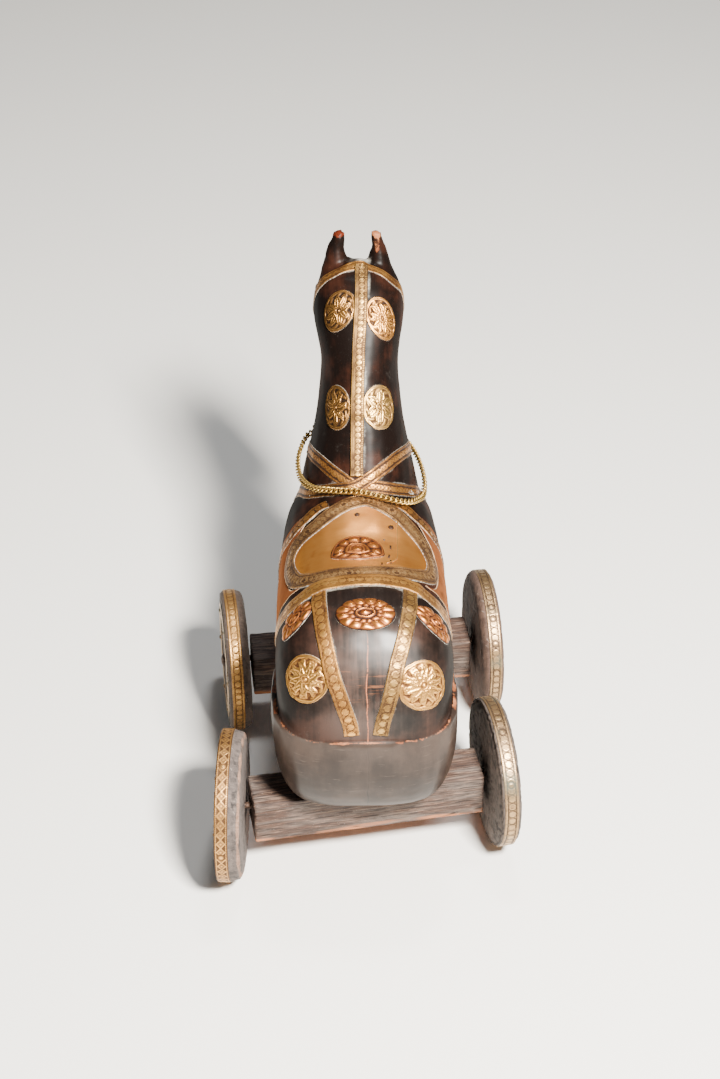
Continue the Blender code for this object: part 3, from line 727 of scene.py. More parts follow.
def sheetCopper(name, tones, rough, metal):
    made, place = newLook(name)
    rim = place.painted("rim")
    patches = place.cloud(48.0, 4.0, 0.62)
    brushed = place.streaks((60, 600, 200), 3.0, 0.6)
    specks = place.cloud(900.0, 2.0, 0.6)
    colour = (patches * 0.75 + brushed * 0.25).ramp((0.34, tones["mid"]), (0.62, tones["bright"]))
    colour = (patches.over(0.56, 0.74) * 0.7).mixed(colour, tones["stain"])
    colour = (specks.over(0.66, 0.78) * 0.25).mixed(colour, tones["stain"])
    colour = (rim * 1.1 + (brushed - 0.5) * 0.4).over(0.25, 0.75).mixed(colour, (0.62, 0.46, 0.30))
    roughness = rough + patches * 0.16 + brushed * 0.06 + rim * 0.20
    warm = {"Specular Tint": (0.9, 0.5, 0.24, 1.0)}
    return finishLook(made, colour, roughness, metal, brushed + specks * 0.4, 0.035, 0.25, warm)


looks = {
    "brass": embossedLook("embossedBrass", metalValues["brass"]),
    "gold": embossedLook("goldenBrass", metalValues["gold"]),
    "brown": embossedLook("brownBrass", metalValues["brown"], 0.06),
    "shadedBrass": embossedLook("shadedBrass", metalValues["shadedBrass"]),
    "dullGold": embossedLook("dullGold", metalValues["dullGold"]),
    "bronze": embossedLook("embossedCopper", metalValues["bronze"]),
    "goldTyre": embossedLook("goldenTyre", metalValues["goldTyre"], 0.05),
    "dullTyre": embossedLook("dullTyre", metalValues["dullTyre"], 0.10, 0.30),
    "seat": sheetCopper("seatCopper", metalValues["seat"], 0.24, 0.96),
    "wing": sheetCopper("wingCopper", metalValues["wing"], 0.50, 0.8),
}


def mirroredRoute(route, side):
    return [(side * x, y, z) for x, y, z in route]


def laySaddle():
    border = [(2.6, 86.6, 161.7), (-5.4, 84.6, 161.4), (-10.9, 81.8, 160.5), (-16.7, 77.9, 158.8),
              (-22.1, 73.8, 156.2), (-27.9, 70.4, 153), (-32.8, 67.4, 148.5), (-36.2, 63.6, 145),
              (-37.5, 57, 142.5), (-36.6, 47.5, 143.4), (-33, 37.5, 147), (-24.7, 32.6, 152.6),
              (-10, 31.6, 156.9), (0.4, 31.6, 157.2), (11.4, 32.2, 156.6), (21.1, 33.8, 154.4),
              (28.4, 36.2, 151), (34, 41, 146), (35.9, 48.2, 144.4), (35.4, 54.8, 145.2), (33, 60.4, 147.4),
              (29.9, 65.6, 150.8), (25.5, 70.8, 154.2), (20.5, 76, 157.4), (14.9, 80.5, 159.5),
              (8.6, 84.3, 161.3)]
    rim = evenLine(smoothLine(border, True, 6), 1.5 * mm, True)
    rim = [onSkin(point)[0] for point in rim]
    layPlate("saddleSeat", rim, lambda x, y: 0.0, looks["seat"], ["saddle_seat"], 30, 0.0)
    for side, word in ((-1, "left"), (1, "right")):
        layWing(side, word)
        edge = [(17.2, 87, 160), (22.9, 85, 157.3), (28, 81.6, 154.2), (33.6, 79, 149), (37.2, 77.6, 143.6),
                (41.5, 78, 128), (44, 73, 112)]
        layStrip(f"wingBand_{word}", mirroredRoute(edge, side), 5.8, circleChain, 3.9, looks["brass"],
                 [f"wing_band_{word}"])
    layStrip("saddleBorder", border, 8.4, borderRow, 3.0, looks["brown"], ["saddle_border"], closed=True,
             lip=(1.3, 0.3))
    layHalfRosette()
    layMarks()


markValues = {
    # mm: where each is, then its width and depth, or its radius
    "slots": ((14.3, 52.8, 3.2, 0.9), (13.3, 45.2, 2.8, 0.9), (14.1, 41.0, 3.0, 0.8), (9.5, 38.4, 2.2, 0.7)),
    "rivets": ((15.0, 67.9, 1.7), (-2.2, 75.8, 1.5), (11.2, 58.0, 0.6)),
    "seam": [(18.3, 73.5, 157.6), (18.0, 60, 156.4), (17.3, 45.5, 155.4), (14.2, 41.2, 156), (11.6, 39.6, 156.5)],
}


def layMarks():
    # slots, rivets and a seam on the seat
    form = bmesh.new()
    seat = laidTrees[0]

    def onSeat(x, y, lift):
        place, normal, _, _ = seat.ray_cast(spot(x, y, 175), Vector((0, 0, -1)))
        return Matrix.Translation(place + normal * lift * mm) @ normal.to_track_quat("Z", "Y").to_matrix().to_4x4()

    for x, y, wide, deep in markValues["slots"]:
        size = Matrix.Diagonal((wide * mm, deep * mm, 0.3 * mm, 1))
        bmesh.ops.create_cube(form, size=1.0, matrix=onSeat(x, y, 0.0) @ size)
    for x, y, radius in markValues["rivets"]:
        bmesh.ops.create_cone(form, cap_ends=True, segments=20, radius1=radius * mm, radius2=radius * 0.75 * mm,
                              depth=0.5 * mm, matrix=onSeat(x, y, 0.1))
    look = embossedLook("markBrass", metalValues["brown"], 0.3)
    newPiece("seatMarks", form, "toy", look, ["saddle_seat"])
    layStrip("seatSeam", markValues["seam"], 0.45, lambda s, x, width, pitch: 0.9, 1.0, looks["gold"],
             ["saddle_seat"], boss=0.02, lip=(0.1, 0.1))


def layWing(side, word):
    upper = [(20, 86, 157), (31, 73, 149), (37.6, 56, 140.5), (36, 36, 143), (30, 31, 149)]
    lower = [(41, 84, 128), (44, 71, 112), (45.5, 55, 106), (46, 38, 108), (44, 31.5, 118)]
    top, foot = [smoothLine(mirroredRoute(route, side), False, 8) for route in (upper, lower)]
    rows, columns = len(top) - 1, 24

    def place(row, column):
        flat, normal = onSkin(top[row].lerp(foot[row], column / columns))
        edge = row in (0, rows) or column in (0, columns)
        dent = noise.noise(flat * 90) * 0.15
        return flat + normal * (-0.1 if edge else 0.3 + dent) * mm, 0.0, 1.0 if edge else 0.0

    form = sheetForm(rows, columns + 1, place, rows + 1, columns + 1)
    laySheet(f"saddleWing_{word}", form, looks["wing"], [f"saddle_wing_{word}"])


def layHalfRosette():
    middle = onSkin(spot(-2.7, 46, 157.5))[0]
    rim = []
    for k in range(72):
        turn = 2 * math.pi * k / 72
        deep = 14.6 if math.sin(turn) > 0 else 4.0
        rim.append(middle + Vector((13.8 * math.cos(turn), deep * math.sin(turn), 0)) * mm)

    def fan(x, y):
        # half a rosette whose lobes spread from the straight edge
        away = math.hypot(x, y)
        turn = math.atan2(y, x)
        lobes = bump(away - 0.70, 0.17) * abs(math.cos(turn * 5.5)) ** 0.7
        return max(lobes, 0.8 * bump(away - 0.40, 0.05), bump(away, 0.16), 0.7 * bump(away - 0.27, 0.04),
                   0.6 * bump(away - 0.95, 0.035))

    layPlate("saddleRosette", rim, fan, looks["bronze"], ["saddle_rosette"], 28, 0.9, dome=0.3)


plateValues = {
    # middle, half width and half length in mm, lean in degrees, look, then the leaves or petals and their lean
    # the left neck medallions take the darker brass as painted shade
    "neck_medallion_upper_left": ((-10.8, 149.2, 238.6), 8.4, 11.6, -30, "shadedBrass", 8, 0.5),
    "neck_medallion_upper_right": ((12.2, 147.6, 234.2), 8.2, 12.0, 27, "brass", 7, -0.4),
    "neck_medallion_lower_left": ((-12.6, 120.2, 197.4), 8.4, 11.8, 4, "shadedBrass", 7, 0.7),
    "neck_medallion_lower_right": ((10.6, 119.3, 197.7), 9.9, 11.6, 0, "dullGold", 6, -0.6),
    "rump_medallion_left": ((-29.3, -19.0, 131.4), 12.2, 12.0, 0, "gold", 9, 0.9),
    "rump_medallion_right": ((27.9, -21.0, 128.2), 13.6, 12.5, 0, "gold", 10, -0.5),
    "rump_rosette_left": ((-33.8, 9.2, 145.5), 7.0, 12.4, -32, "bronze", 9, 0.6),
    "rump_rosette_right": ((34.2, 6.4, 144), 7.0, 13.6, 48, "bronze", 10, 0.6),
    "rump_rosette_middle": ((0.4, 1.6, 155.3), 15.0, 9.9, 0, "bronze", 13, 0.6),
}


def layPlates():
    for node, (centre, halfWidth, halfLength, lean, tone, count, turn) in plateValues.items():
        first, *more, last = node.split("_")
        name = first + "".join(word.title() for word in more) + "_" + last
        slot = "copper" if tone == "bronze" else "brass"
        figure, rings, boss, dome = (rosette, 28, 1.1, 0.4) if slot == "copper" else (spray, 32, 0.7, 0.25)

        def pattern(x, y, figure=figure, count=count, turn=turn):
            return figure(x, y, count, turn)

        rim = ovalRim(centre, halfWidth, halfLength, lean)
        layPlate(name, rim, pattern, looks[tone], [node], rings, boss, dome=dome)


def layStraps():
    left = [(-22.2, 21, 153.8), (-21.4, 1, 152.3), (-18.9, -12, 145.2), (-15.6, -21.4, 134), (-11.4, -27.8, 122.7),
            (-8.0, -30.8, 112.4), (-7.0, -31.4, 105.2)]
    right = [(22.9, 21, 153.4), (21.5, 3.3, 152.7), (19, -8.7, 148.1), (15.8, -16.8, 140.4), (13.6, -22.3, 132.9),
             (11.0, -27.9, 122.5), (8.5, -30.5, 114.4), (7.0, -31.4, 105.2)]
    layStrip("rumpStrap_left", left, 7.4, circleChain, 4.4, looks["gold"], ["rump_strap_left"], raised=0.3)
    layStrip("rumpStrap_right", right, 7.4, circleChain, 4.3, looks["dullGold"], ["rump_strap_right"], raised=0.5)
    band = [(-45, 27, 118), (-42, 22.5, 134), (-37.8, 21.6, 141.9), (-33.2, 22.2, 146.8), (-28, 23.2, 150.9),
            (-21.7, 24.0, 154.1), (-14, 24.4, 156), (0.7, 24.8, 157.2), (15.6, 24.6, 155.8), (24.1, 24, 152.9),
            (30.6, 23, 149.3), (36.6, 22, 143.7), (42, 22.5, 134), (45, 27, 118)]
    layStrip("rearBand", band, 8.4, ovalRow, 4.3, looks["gold"], ["rear_band"], haze=(0.6, 1.3))


def layNeckStrips():
    # each crosses over the neck and ends on the other side of the chest
    fromLeft = [(1.5, 164, 139), (-14, 161, 144), (-25, 149, 153), (-27.5, 132, 164), (-22, 110.5, 171),
                (-15.8, 101.6, 170.6), (-8, 95.3, 168), (-2.9, 92.9, 165.8), (5.9, 93.3, 165.5), (12.7, 94.1, 164),
                (20.7, 97.6, 160), (29, 106, 153), (37, 124, 140), (33, 148, 119), (17, 157.5, 111)]
    fromRight = [(-1.5, 164, 139), (14, 161, 144), (25, 149, 153), (27.5, 132, 164), (21, 111, 173),
                 (12.9, 100.9, 172.6), (4.9, 95.4, 169.6), (-2.9, 93.2, 165.8), (-11, 93.5, 164),
                 (-22.2, 98.6, 158.7), (-28, 104.5, 154), (-34, 121, 144), (-33, 148, 119), (-17, 157.5, 111)]
    layStrip("collarBand_left", fromLeft, 6.6, ovalChain, 4.3, looks["brass"], ["collar_band_right"])
    layStrip("collarBand_right", fromRight, 6.6, ovalChain, 4.3, looks["brass"], ["collar_band_left"])
    browband = [(-21, 184, 205), (-22.4, 176, 221), (-21, 171.5, 236), (-14.6, 168.4, 247), (-6.7, 170.5, 251),
                (1.2, 171.5, 252), (9.1, 170.5, 251), (17, 168.4, 244.8), (21.5, 171.5, 235), (22.4, 176, 221),
                (21, 184, 205)]
    layStrip("headband", browband, 5.8, plainBand, 3.6, looks["gold"], ["headband"], haze=(1.0, 1.0))
    crest = [(-1.9, 95.8, 169.9), (-1.5, 109, 187.6), (-1.0, 121.5, 204.1), (0, 136.7, 225.1), (1.3, 150.7, 240.8),
             (1.9, 164.7, 250.6), (2.2, 171.5, 252.5)]
    layStrip("crestStrip", crest, 6.5, crestRow, 2.9, looks["dullGold"], ["crest_strip"], raised=0.7,
             haze=(0.3, 2.2))


laySaddle()
layPlates()
layStraps()
layNeckStrips()
report(f"sheet metal laid, {len(laidTrees)} pieces")


# attributes on the horse, once all metal is laid

def paintHorse(form):
    names = ("haze", "rawWood", "lowerBlock", "polish")
    haze, raw, block, polish = [form.verts.layers.float.new(name) for name in names]
    tree = KDTree(len(rimPoints))
    for k, (point, _) in enumerate(rimPoints):
        tree.insert(point, k)
    tree.balance()
    ledge = horseValues["ledge"] * mm
    # middle of the rump's polished patch: it raises the coat's gloss, and carvedWood also paints a pale sheen there,
    # a painted highlight
    worn = spot(2, -14, 128)
    for vert in form.verts:
        _, nearest, away = tree.find(vert.co)
        spread = rimPoints[nearest][1]
        vert[haze] = min(1.0, 0.20 + spread * 0.6) * bump(away / mm, 0.35 + spread * 0.45)
        off = (vert.co - worn) / mm
        vert[polish] = bump(off.x, 25) * bump(off.y, 30) * bump(off.z, 31)
        rearSide = vert.co.y < spot(0, 50, 0).y
        under = (ledge - vert.co.z) / mm
        vert[block] = 1.0 if under > -0.2 and rearSide else clamped(under / 6)
        if rearSide and -0.4 < under < 1.3:
            ragged = noise.noise(vert.co * 130) * 0.7
            vert[raw] = max(0.0, (0.64 if under < 0.4 else 0.05) + ragged)
        if vert.co.z > (horseValues["earTip"] - 4) * mm:
            tip = (vert.co.z / mm - horseValues["earTip"] + 0.2) / 2.5
            vert[raw] = min(0.7, max(0.0, tip - 0.1 + 0.9 * noise.noise(vert.co * 500)))
        if vert.co.x > 8 * mm and vert.co.z > 250 * mm:
            # the right ear has flaked down its back
            flake = bump(vert.co.x / mm - 10.5, 1.4) * min(1.0, (vert.co.z / mm - 252) / 8)
            vert[raw] = max(vert[raw], flake * (0.75 + noise.noise(vert.co * 400)))
        if 247 * mm < vert.co.z < 256.5 * mm and abs(vert.co.x) < 8 * mm and vert.co.y > spot(0, 172, 0).y:
            vert[haze] = max(vert[haze], (1.3 + 0.4 * noise.noise(vert.co * 300)) * bump(vert.co.x / mm - 1, 6.5))


paintHorse(horseForm)
newPiece("carvedHorse", horseForm, "toy", carvedWood(), ["horse"])


# the chain round the neck

chainValues = {"pitch": 2.7, "halfLength": 1.95, "halfWidth": 1.40, "wire": 0.56, "twist": 1.7}


def chainForm():
    route = [(-1, 88.2, 166.2), (-9.5, 89.2, 166), (-17, 91.6, 165), (-23.5, 96, 162.6), (-28.6, 104.5, 159.8),
             (-32, 117, 156.4), (-33, 130, 156.5), (-31.2, 141, 158), (-27, 150, 161), (-17, 161, 163), (0, 170, 160),
             (17, 164, 156), (28, 149, 153), (33, 131, 153), (34.6, 117.5, 151), (33.2, 105, 151.5), (30, 94, 156.6),
             (25, 87.0, 160), (17, 84.0, 163.5), (8, 86.0, 165)]
    clear = (chainValues["wire"] + chainValues["twist"] * 0.6) * mm
    trees = [skin] + laidTrees
    line = smoothLine(route, True, 10)
    for _ in range(6):
        pushed = []
        for k, point in enumerate(line):
            point = point * 0.6 + (line[k - 1] + line[(k + 1) % len(line)]) * 0.2
            for tree in trees:
                place, normal, _, away = tree.find_nearest(point)
                inside = (point - place).dot(normal) < 0 and away < 6 * mm
                if inside or away < clear:
                    way = normal if inside or away < 0.05 * mm else (point - place).normalized()
                    point = place + way * clear
            pushed.append(point)
        line = pushed
    length = sum((line[k] - line[k - 1]).length for k in range(len(line)))
    links = round(length / (chainValues["pitch"] * mm))
    line = evenLine(line, length / links, True)
    form = bmesh.new()
    for k, point in enumerate(line):
        ahead = (line[(k + 1) % len(line)] - line[k - 1]).normalized()
        out = onSkin(point)[1]
        out = (out - ahead * out.dot(ahead)).normalized()
        addLink(form, point, ahead, out)
    relief = form.verts.layers.float.new("relief")
    for vert in form.verts:
        vert[relief] = 0.62
    return form


def spunRound(form, geom, steps):
    # a full turn about the local axis
    bmesh.ops.spin(form, geom=geom, cent=(0, 0, 0), axis=(0, 0, 1), angle=2 * math.pi, steps=steps, use_merge=True)


def addLink(form, middle, ahead, out):
    # an oval of wire, twisted so that it lies flat against its neighbours
    start = Matrix.Translation((4 * mm, 0, 0)) @ Matrix.Rotation(math.pi / 2, 4, "X")
    sides = bmesh.ops.create_circle(form, segments=5, radius=chainValues["wire"] * mm, matrix=start)["verts"]
    edges = list({edge for vert in sides for edge in vert.link_edges})
    spunRound(form, sides + edges, 12)
    verts = set(sides)
    grown = True
    while grown:
        more = {other for vert in verts for edge in vert.link_edges for other in edge.verts} - verts
        verts |= more
        grown = bool(more)
    across = ahead.cross(out)
    for vert in verts:
        turn = math.atan2(vert.co.y, vert.co.x)
        wire = math.hypot(vert.co.x, vert.co.y) - 4 * mm
        x = (chainValues["halfLength"] * mm + wire) * math.cos(turn)
        y = (chainValues["halfWidth"] * mm + wire) * math.sin(turn)
        z = vert.co.z + chainValues["twist"] * mm * math.sin(2 * turn) * 0.5
        vert.co = middle + ahead * x + across * y + out * z


newPiece("neckChain", chainForm(), "toy", embossedLook("chainBrass", metalValues["chain"]), ["neck_chain"])
report("chain linked")


# wheels, their tyres, outer rings and pins

wheelValues = {
    "radius": 39.6,         # mm, over the brass
    "wood": 38.95,          # mm, under the brass
    "step": 0.45,           # mm between points along a tyre
    "across": 17,           # points across a tyre
    "boss": 0.28,           # mm, how far the figures of a tyre stand out
    "ring": (23.5, 32.4),   # mm, inner and outer edge of the embossed ring
    "vine": 28.0,           # mm, radius of the vine and the nails in each ring
    "vines": 24,            # waves in each ring
    "nails": 6,             # in each ring
    # tread is the low and high edge of the brass along the axle and face the wood's inner side, in mm;
    # nails and the strip's lap are in degrees round the wheel, pits and raw say how worn its wood is, up to 1
    "front_left": {"pattern": circleChain, "pitch": 3.9, "nailsAt": (), "lapAt": 200, "pits": 0.15,
                   "raw": 0.25, "face": -7.4, "tread": (-2.8, 3.6), "look": "goldTyre",
                   "wood": ((0.018, 0.011, 0.008), (0.090, 0.062, 0.047))},
    "front_right": {"pattern": circleChain, "pitch": 4.1, "nailsAt": (24, 34, 55), "lapAt": 31, "pits": 0.15,
                    "raw": 0.7, "face": -6.6, "tread": (-2.8, 3.8), "look": "dullTyre",
                    "wood": ((0.024, 0.012, 0.008), (0.10, 0.056, 0.038))},
    "rear_left": {"pattern": diamondChain, "pitch": 5.0, "nailsAt": (17, 88), "lapAt": 250, "pits": 0.25,
                  "raw": 0.35, "face": -7.7, "tread": (-1.8, 5.0), "look": "goldTyre",
                  "wood": ((0.012, 0.0095, 0.009), (0.125, 0.096, 0.084))},
    "rear_right": {"pattern": circleChain, "pitch": 4.5, "nailsAt": (17, 58), "lapAt": 112, "pits": 0.55,
                   "raw": 0.1, "face": -6.2, "tread": (-3.8, 3.4), "look": "dullTyre",
                   "wood": ((0.016, 0.011, 0.009), (0.092, 0.066, 0.052))},
}


def woodProfile(values):
    # radius and height along the axle, from the bore over the rim and back
    low, high = values["tread"]
    high, face = max(high, 3.4), values["face"]
    return [(2.3, 5.2), (37.4, 5.2), (38.95, high), (38.95, low - 0.4), (38.6, low - 1.4), (37.8, face + 1.6),
            (36.5, face + 0.8), (34.8, face + 0.2), (32.0, face), (27.0, face + 0.2), (16.0, face + 0.6),
            (6.0, face + 0.4), (2.3, face + 0.1)]


def spun(form, profile, steps):
    # a line of radius and height, made a solid of revolution
    verts = [form.verts.new((radius * mm, 0, z * mm)) for radius, z in profile]
    edges = [form.edges.new(pair) for pair in zip(verts, verts[1:])]
    spunRound(form, verts + edges, steps)
    bmesh.ops.remove_doubles(form, verts=form.verts, dist=0.01 * mm)


def finely(profile, step):
    fine = []
    for a, b in zip(profile, profile[1:]):
        count = max(1, round(math.dist(a, b) / step))
        fine += [(a[0] + (b[0] - a[0]) * k / count, a[1] + (b[1] - a[1]) * k / count) for k in range(count)]
    return fine + [profile[-1]]


def hubPlace(joint):
    # first axis up, second to the rear, third outward along the pin
    out = Vector(joint["axis"])
    rear = out.cross(Vector((0, 0, 1))).normalized()
    if rear.y > 0:
        rear = -rear
    turned = Matrix((Vector((0, 0, 1)), rear, out)).transposed().to_4x4()
    return Matrix.Translation(joint["pos_m"]) @ turned


def onWheel(hub, turn, radius, height):
    # a place on a wheel, radius and height along the axle in mm
    return hub @ ((Vector((math.cos(turn), math.sin(turn), 0)) * radius + Vector((0, 0, height))) * mm)


def woodenDisc(name, values, hub):
    form = bmesh.new()
    profile = woodProfile(values)
    spun(form, finely(profile + profile[:1], 1.0), 150)
    bmesh.ops.recalc_face_normals(form, faces=form.faces)
    form.normal_update()
    hollow = form.verts.layers.float.new("hollow")
    raw = form.verts.layers.float.new("rawWood")
    seed = Vector((len(name) * 7.1, values["pits"] * 50, 3.0))
    for vert in form.verts:
        at = vert.co / mm
        away = at.xy.length
        cut = noise.noise(at * 0.09 + seed) * 0.5 + noise.noise(at * 0.25 + seed) * 0.35
        grain = noise.noise(Vector((at.x * 0.10, at.y * 1.1, at.z * 0.9)) + seed)
        pit = max(0.0, noise.noise(at * 0.55 + seed) - 0.12) * 2.2
        low, high = values["tread"]
        onTread = low < at.z < high and away > 37
        deep = -abs(cut) * 0.35 - max(0.0, grain) * 0.28 - pit * values["pits"] * (1.0 if at.z < -4 else 0.5)
        deep = -0.05 if onTread else deep
        vert[hollow] = min(1.0, -deep / 0.5)
        inward = stepped(-at.z, 3.0 - low, 5.2 - low) if at.z < 0 else 0.2
        vert[raw] = bump(away - 36.6, 2.4) * inward * (0.7 + 0.8 * noise.noise(at * 0.12 + seed))
        vert.co += vert.normal * deep * mm
    bmesh.ops.transform(form, matrix=hub, verts=form.verts)
    newPiece(f"{name}Disc", form, name, discWood(name, values), [f"{name}_wheel"])


def discWood(name, values):
    made, place = newLook(f"{name}Wood")
    dark, pale = values["wood"]
    hollow = place.painted("hollow")
    raw = place.painted("rawWood")
    patches = place.cloud(70.0, 4.0, 0.62)
    fibres = place.streaks((60, 900, 900), 3.0, 0.7)
    specks = place.cloud(1500.0, 2.0, 0.7)
    lit = (patches * 0.50 + fibres * 0.40 + specks * 0.35 - hollow * 0.45).over(0.24, 0.80)
    wood = lit.mixed(dark, pale)
    bare = (raw * (0.6 + values["raw"]) + (patches - 0.5) * 0.6).over(0.32, 0.75) * (0.45 + values["raw"] * 0.45)
    wood = bare.mixed(wood, fibres.over(0.3, 0.7).mixed((0.20, 0.090, 0.045), (0.40, 0.235, 0.155)))
    scratches = place.streaks((900, 90, 500), 3.0, 0.7, 0.7).over(0.60, 0.72) * 0.4
    dust = (specks.over(0.62, 0.80) * (1 - hollow) * 0.35 + scratches).over(0.0, 1.0)
    wood = dust.mixed(wood, (0.34, 0.29, 0.25))
    return finishLook(made, wood, 0.78 + patches * 0.15, 0.0, fibres * 0.6 + specks * 0.3, 0.22, 0.55)


def tyreBand(name, values, hub):
    radius = wheelValues["radius"]
    steps = round(2 * math.pi * radius / wheelValues["step"])
    across = wheelValues["across"]
    low, high = values["tread"]
    width = high - low
    length = 2 * math.pi * radius
    pitch = length / round(length / values["pitch"])

    def place(row, column):
        turn = 2 * math.pi * row / steps
        way = Vector((math.cos(turn), math.sin(turn), 0))
        if column in (0, across + 1):
            x = math.copysign(width / 2 + 0.05, column - 1)
            return onWheel(hub, turn, wheelValues["wood"] - 0.25, x + (low + high) / 2), 0.0, 1.0
        x = (2 * (column - 1) / (across - 1) - 1) * width / 2
        shift = uneven(way * 0.04, 0.15)
        height = values["pattern"](row * length / steps + shift[0], x + shift[1], width, pitch)
        for nail in values["nailsAt"]:
            off = math.radians(nail) - turn
            away = math.hypot(math.atan2(math.sin(off), math.cos(off)) * radius, x)
            if away < 2.1:
                height = 0.95 * bump(away, 1.15) if away < 1.7 else 0.1
        lap = math.degrees(math.radians(values["lapAt"]) - turn) % 360
        lift = 0.12 if lap < 8 else 0.0
        wave = noise.noise(way * 4 + Vector((0, 0, x * 0.2))) * 0.06
        out = radius - 0.42 + wheelValues["boss"] * min(1, height) + lift + wave
        edge = abs(x) > width / 2 - 0.3
        return onWheel(hub, turn, out, x + (low + high) / 2), min(1.0, height), 0.45 if edge else 0.0

    form = sheetForm(steps, across + 2, place, steps, across + 2)
    newPiece(f"{name}Tyre", form, name, looks[values["look"]], [f"{name}_tyre"])


def outerRing(name, hub):
    inner, outer = wheelValues["ring"]
    vine, nails = wheelValues["vine"], wheelValues["nails"]
    steps, across = 260, 12

    def place(row, column):
        turn = 2 * math.pi * row / steps
        way = Vector((math.cos(turn), math.sin(turn), 0))
        share = -0.02 if column == 0 else 1.02 if column == across + 1 else (column - 1) / (across - 1)
        ragged = 0.55 * noise.noise(way * 5 + Vector((2, 2, len(name)))) if share > 0.9 else 0.0
        away = inner + (outer - inner) * share + ragged
        if column in (0, across + 1):
            return onWheel(hub, turn, away, 4.9), 0.0, 1.0
        x = (share - 0.5) * (outer - inner)
        height = vineBand(turn * vine, x, outer - inner, 2 * math.pi * vine / wheelValues["vines"])
        curl = 0.35 * max(0.0, noise.noise(way * 4 + Vector((5, 1, 1)))) if share > 0.85 else 0.0
        rim = 0.4 if share in (0.0, 1.0) else 0.0
        return onWheel(hub, turn, away, 5.45 + 0.4 * height + curl), min(1.0, height), rim

    form = sheetForm(steps, across + 2, place, steps, across + 2)
    relief = form.verts.layers.float["relief"]
    for k in range(nails):
        turn = 2 * math.pi * (k + 0.3) / nails
        place = Vector((math.cos(turn) * vine, math.sin(turn) * vine, 5.9)) * mm
        nail = bmesh.ops.create_cone(form, cap_ends=True, segments=8, radius1=1.6 * mm, radius2=0.7 * mm,
                                     depth=1.1 * mm, matrix=hub @ Matrix.Translation(place))["verts"]
        for vert in nail:
            vert[relief] = 0.3
    newPiece(f"{name}Ring", form, name, looks["dullTyre"], [f"{name}_ring"])


# radius and height in mm
pinValues = {"head": [(0, 7.25), (1.5, 7.2), (2.9, 6.75), (3.9, 6.1), (4.3, 5.55)],
             "shank": [(1.7, 5.5), (1.7, -18), (0, -18)]}


def hubPin(name, hub):
    form = bmesh.new()
    spun(form, finely(pinValues["head"] + pinValues["shank"], 0.8), 20)
    for vert in form.verts:
        if vert.co.z > 5.4 * mm and vert.co.xy.length > 2 * mm:
            vert.co.xy *= 1 + 0.10 * noise.noise(vert.co * 300)
    bmesh.ops.transform(form, matrix=hub, verts=form.verts)
    made, place = newLook(f"{name}PinIron")
    rust = place.cloud(500.0, 3.0, 0.7)
    finishLook(made, rust.over(0.35, 0.65).mixed((0.025, 0.017, 0.014), (0.085, 0.045, 0.028)), 0.5 + rust * 0.35,
               0.9 - rust.over(0.4, 0.7) * 0.8, rust, 0.15, 0.6)
    newPiece(f"{name}Pin", form, "toy", made, [f"{name}_pin"])


# the two bars under the legs

blockValues = {
    "step": 0.85, "edge": 1.0, "depth": 24.4, "height": 26.4, "top": 48.0,    # mm
    "front": {"y": 27.4, "turn": 6.1, "ends": (-61.6, 61.6)},
    "rear": {"y": -84.6, "turn": 9.3, "ends": (-60.0, 61.6)},
    "grey": (0.105, 0.080, 0.067),
    "brown": (0.048, 0.021, 0.012),
    "raw": (0.34, 0.118, 0.038),
    "dark": (0.014, 0.008, 0.006),
}


def axleBlock(end):
    left, right = blockValues[end]["ends"]
    edge = blockValues["edge"]
    size = Vector((right - left, blockValues["depth"], blockValues["height"])) - Vector((0.5, 0.5, 0.3))
    form = bmesh.new()
    bmesh.ops.create_cube(form, size=1.0)
    for axis in range(3):
        along = [line for line in form.edges if abs((line.verts[0].co - line.verts[1].co)[axis]) > 0.5]
        cuts = round(size[axis] / blockValues["step"]) - 1
        bmesh.ops.subdivide_edges(form, edges=along, cuts=cuts, use_grid_fill=True)
    hollow = form.verts.layers.float.new("hollow")
    raw = form.verts.layers.float.new("rawWood")
    seed = Vector((0, 0, 9.0 if end == "rear" else 31.0))
    for vert in form.verts:
        at = Vector([vert.co[k] * size[k] for k in range(3)])
        inner = Vector([max(edge - size[k] / 2, min(size[k] / 2 - edge, at[k])) for k in range(3)])
        out = (at - inner).normalized()
        flat = inner + out * edge
        wander = noise.noise(Vector((at.x * 0.03, at.y * 0.1, at.z * 0.1)) + seed) * 3
        groove = noise.noise(Vector((at.x * 0.030, at.y * 1.05 + wander, at.z * 1.05 + wander)) + seed)
        fine = noise.noise(Vector((at.x * 0.08, at.y * 2.9, at.z * 2.9)) + seed)
        split = bump(noise.noise(Vector((at.x * 0.012, at.y * 0.28, at.z * 0.28)) + seed * 2), 0.035)
        endGrain = abs(out.x) > 0.7
        deep = 0.10 + max(0.0, groove) * (0.25 if endGrain else 0.50) + max(0.0, fine) * 0.3 + split * 0.6
        worn = (1 - max(abs(c) for c in out)) * (0.3 + noise.noise(at * 0.15 + seed)) * 1.4
        vert[hollow] = min(1.0, deep / 0.9)
        low = max(0.0, 1 - (at.z + size.z / 2) / 5.5) + max(0.0, worn) * 0.9
        vert[raw] = min(1.0, low * (0.75 + 0.8 * noise.noise(Vector((at.x * 0.05, at.y * 0.3, at.z * 0.3)) + seed)))
        vert.co = (flat - out * (deep + max(0.0, worn))) * mm
        vert.co.x += (left + right) / 2 * mm
    middle = Vector((0, blockValues[end]["y"], blockValues["top"] - blockValues["height"] / 2)) * mm
    turned = Matrix.Rotation(math.radians(blockValues[end]["turn"]), 4, "Z")
    bmesh.ops.transform(form, matrix=Matrix.Translation(middle) @ turned, verts=form.verts)
    newPiece(f"{end}AxleBlock", form, "toy", weatheredWood(end), [f"{end}_axle_block"])


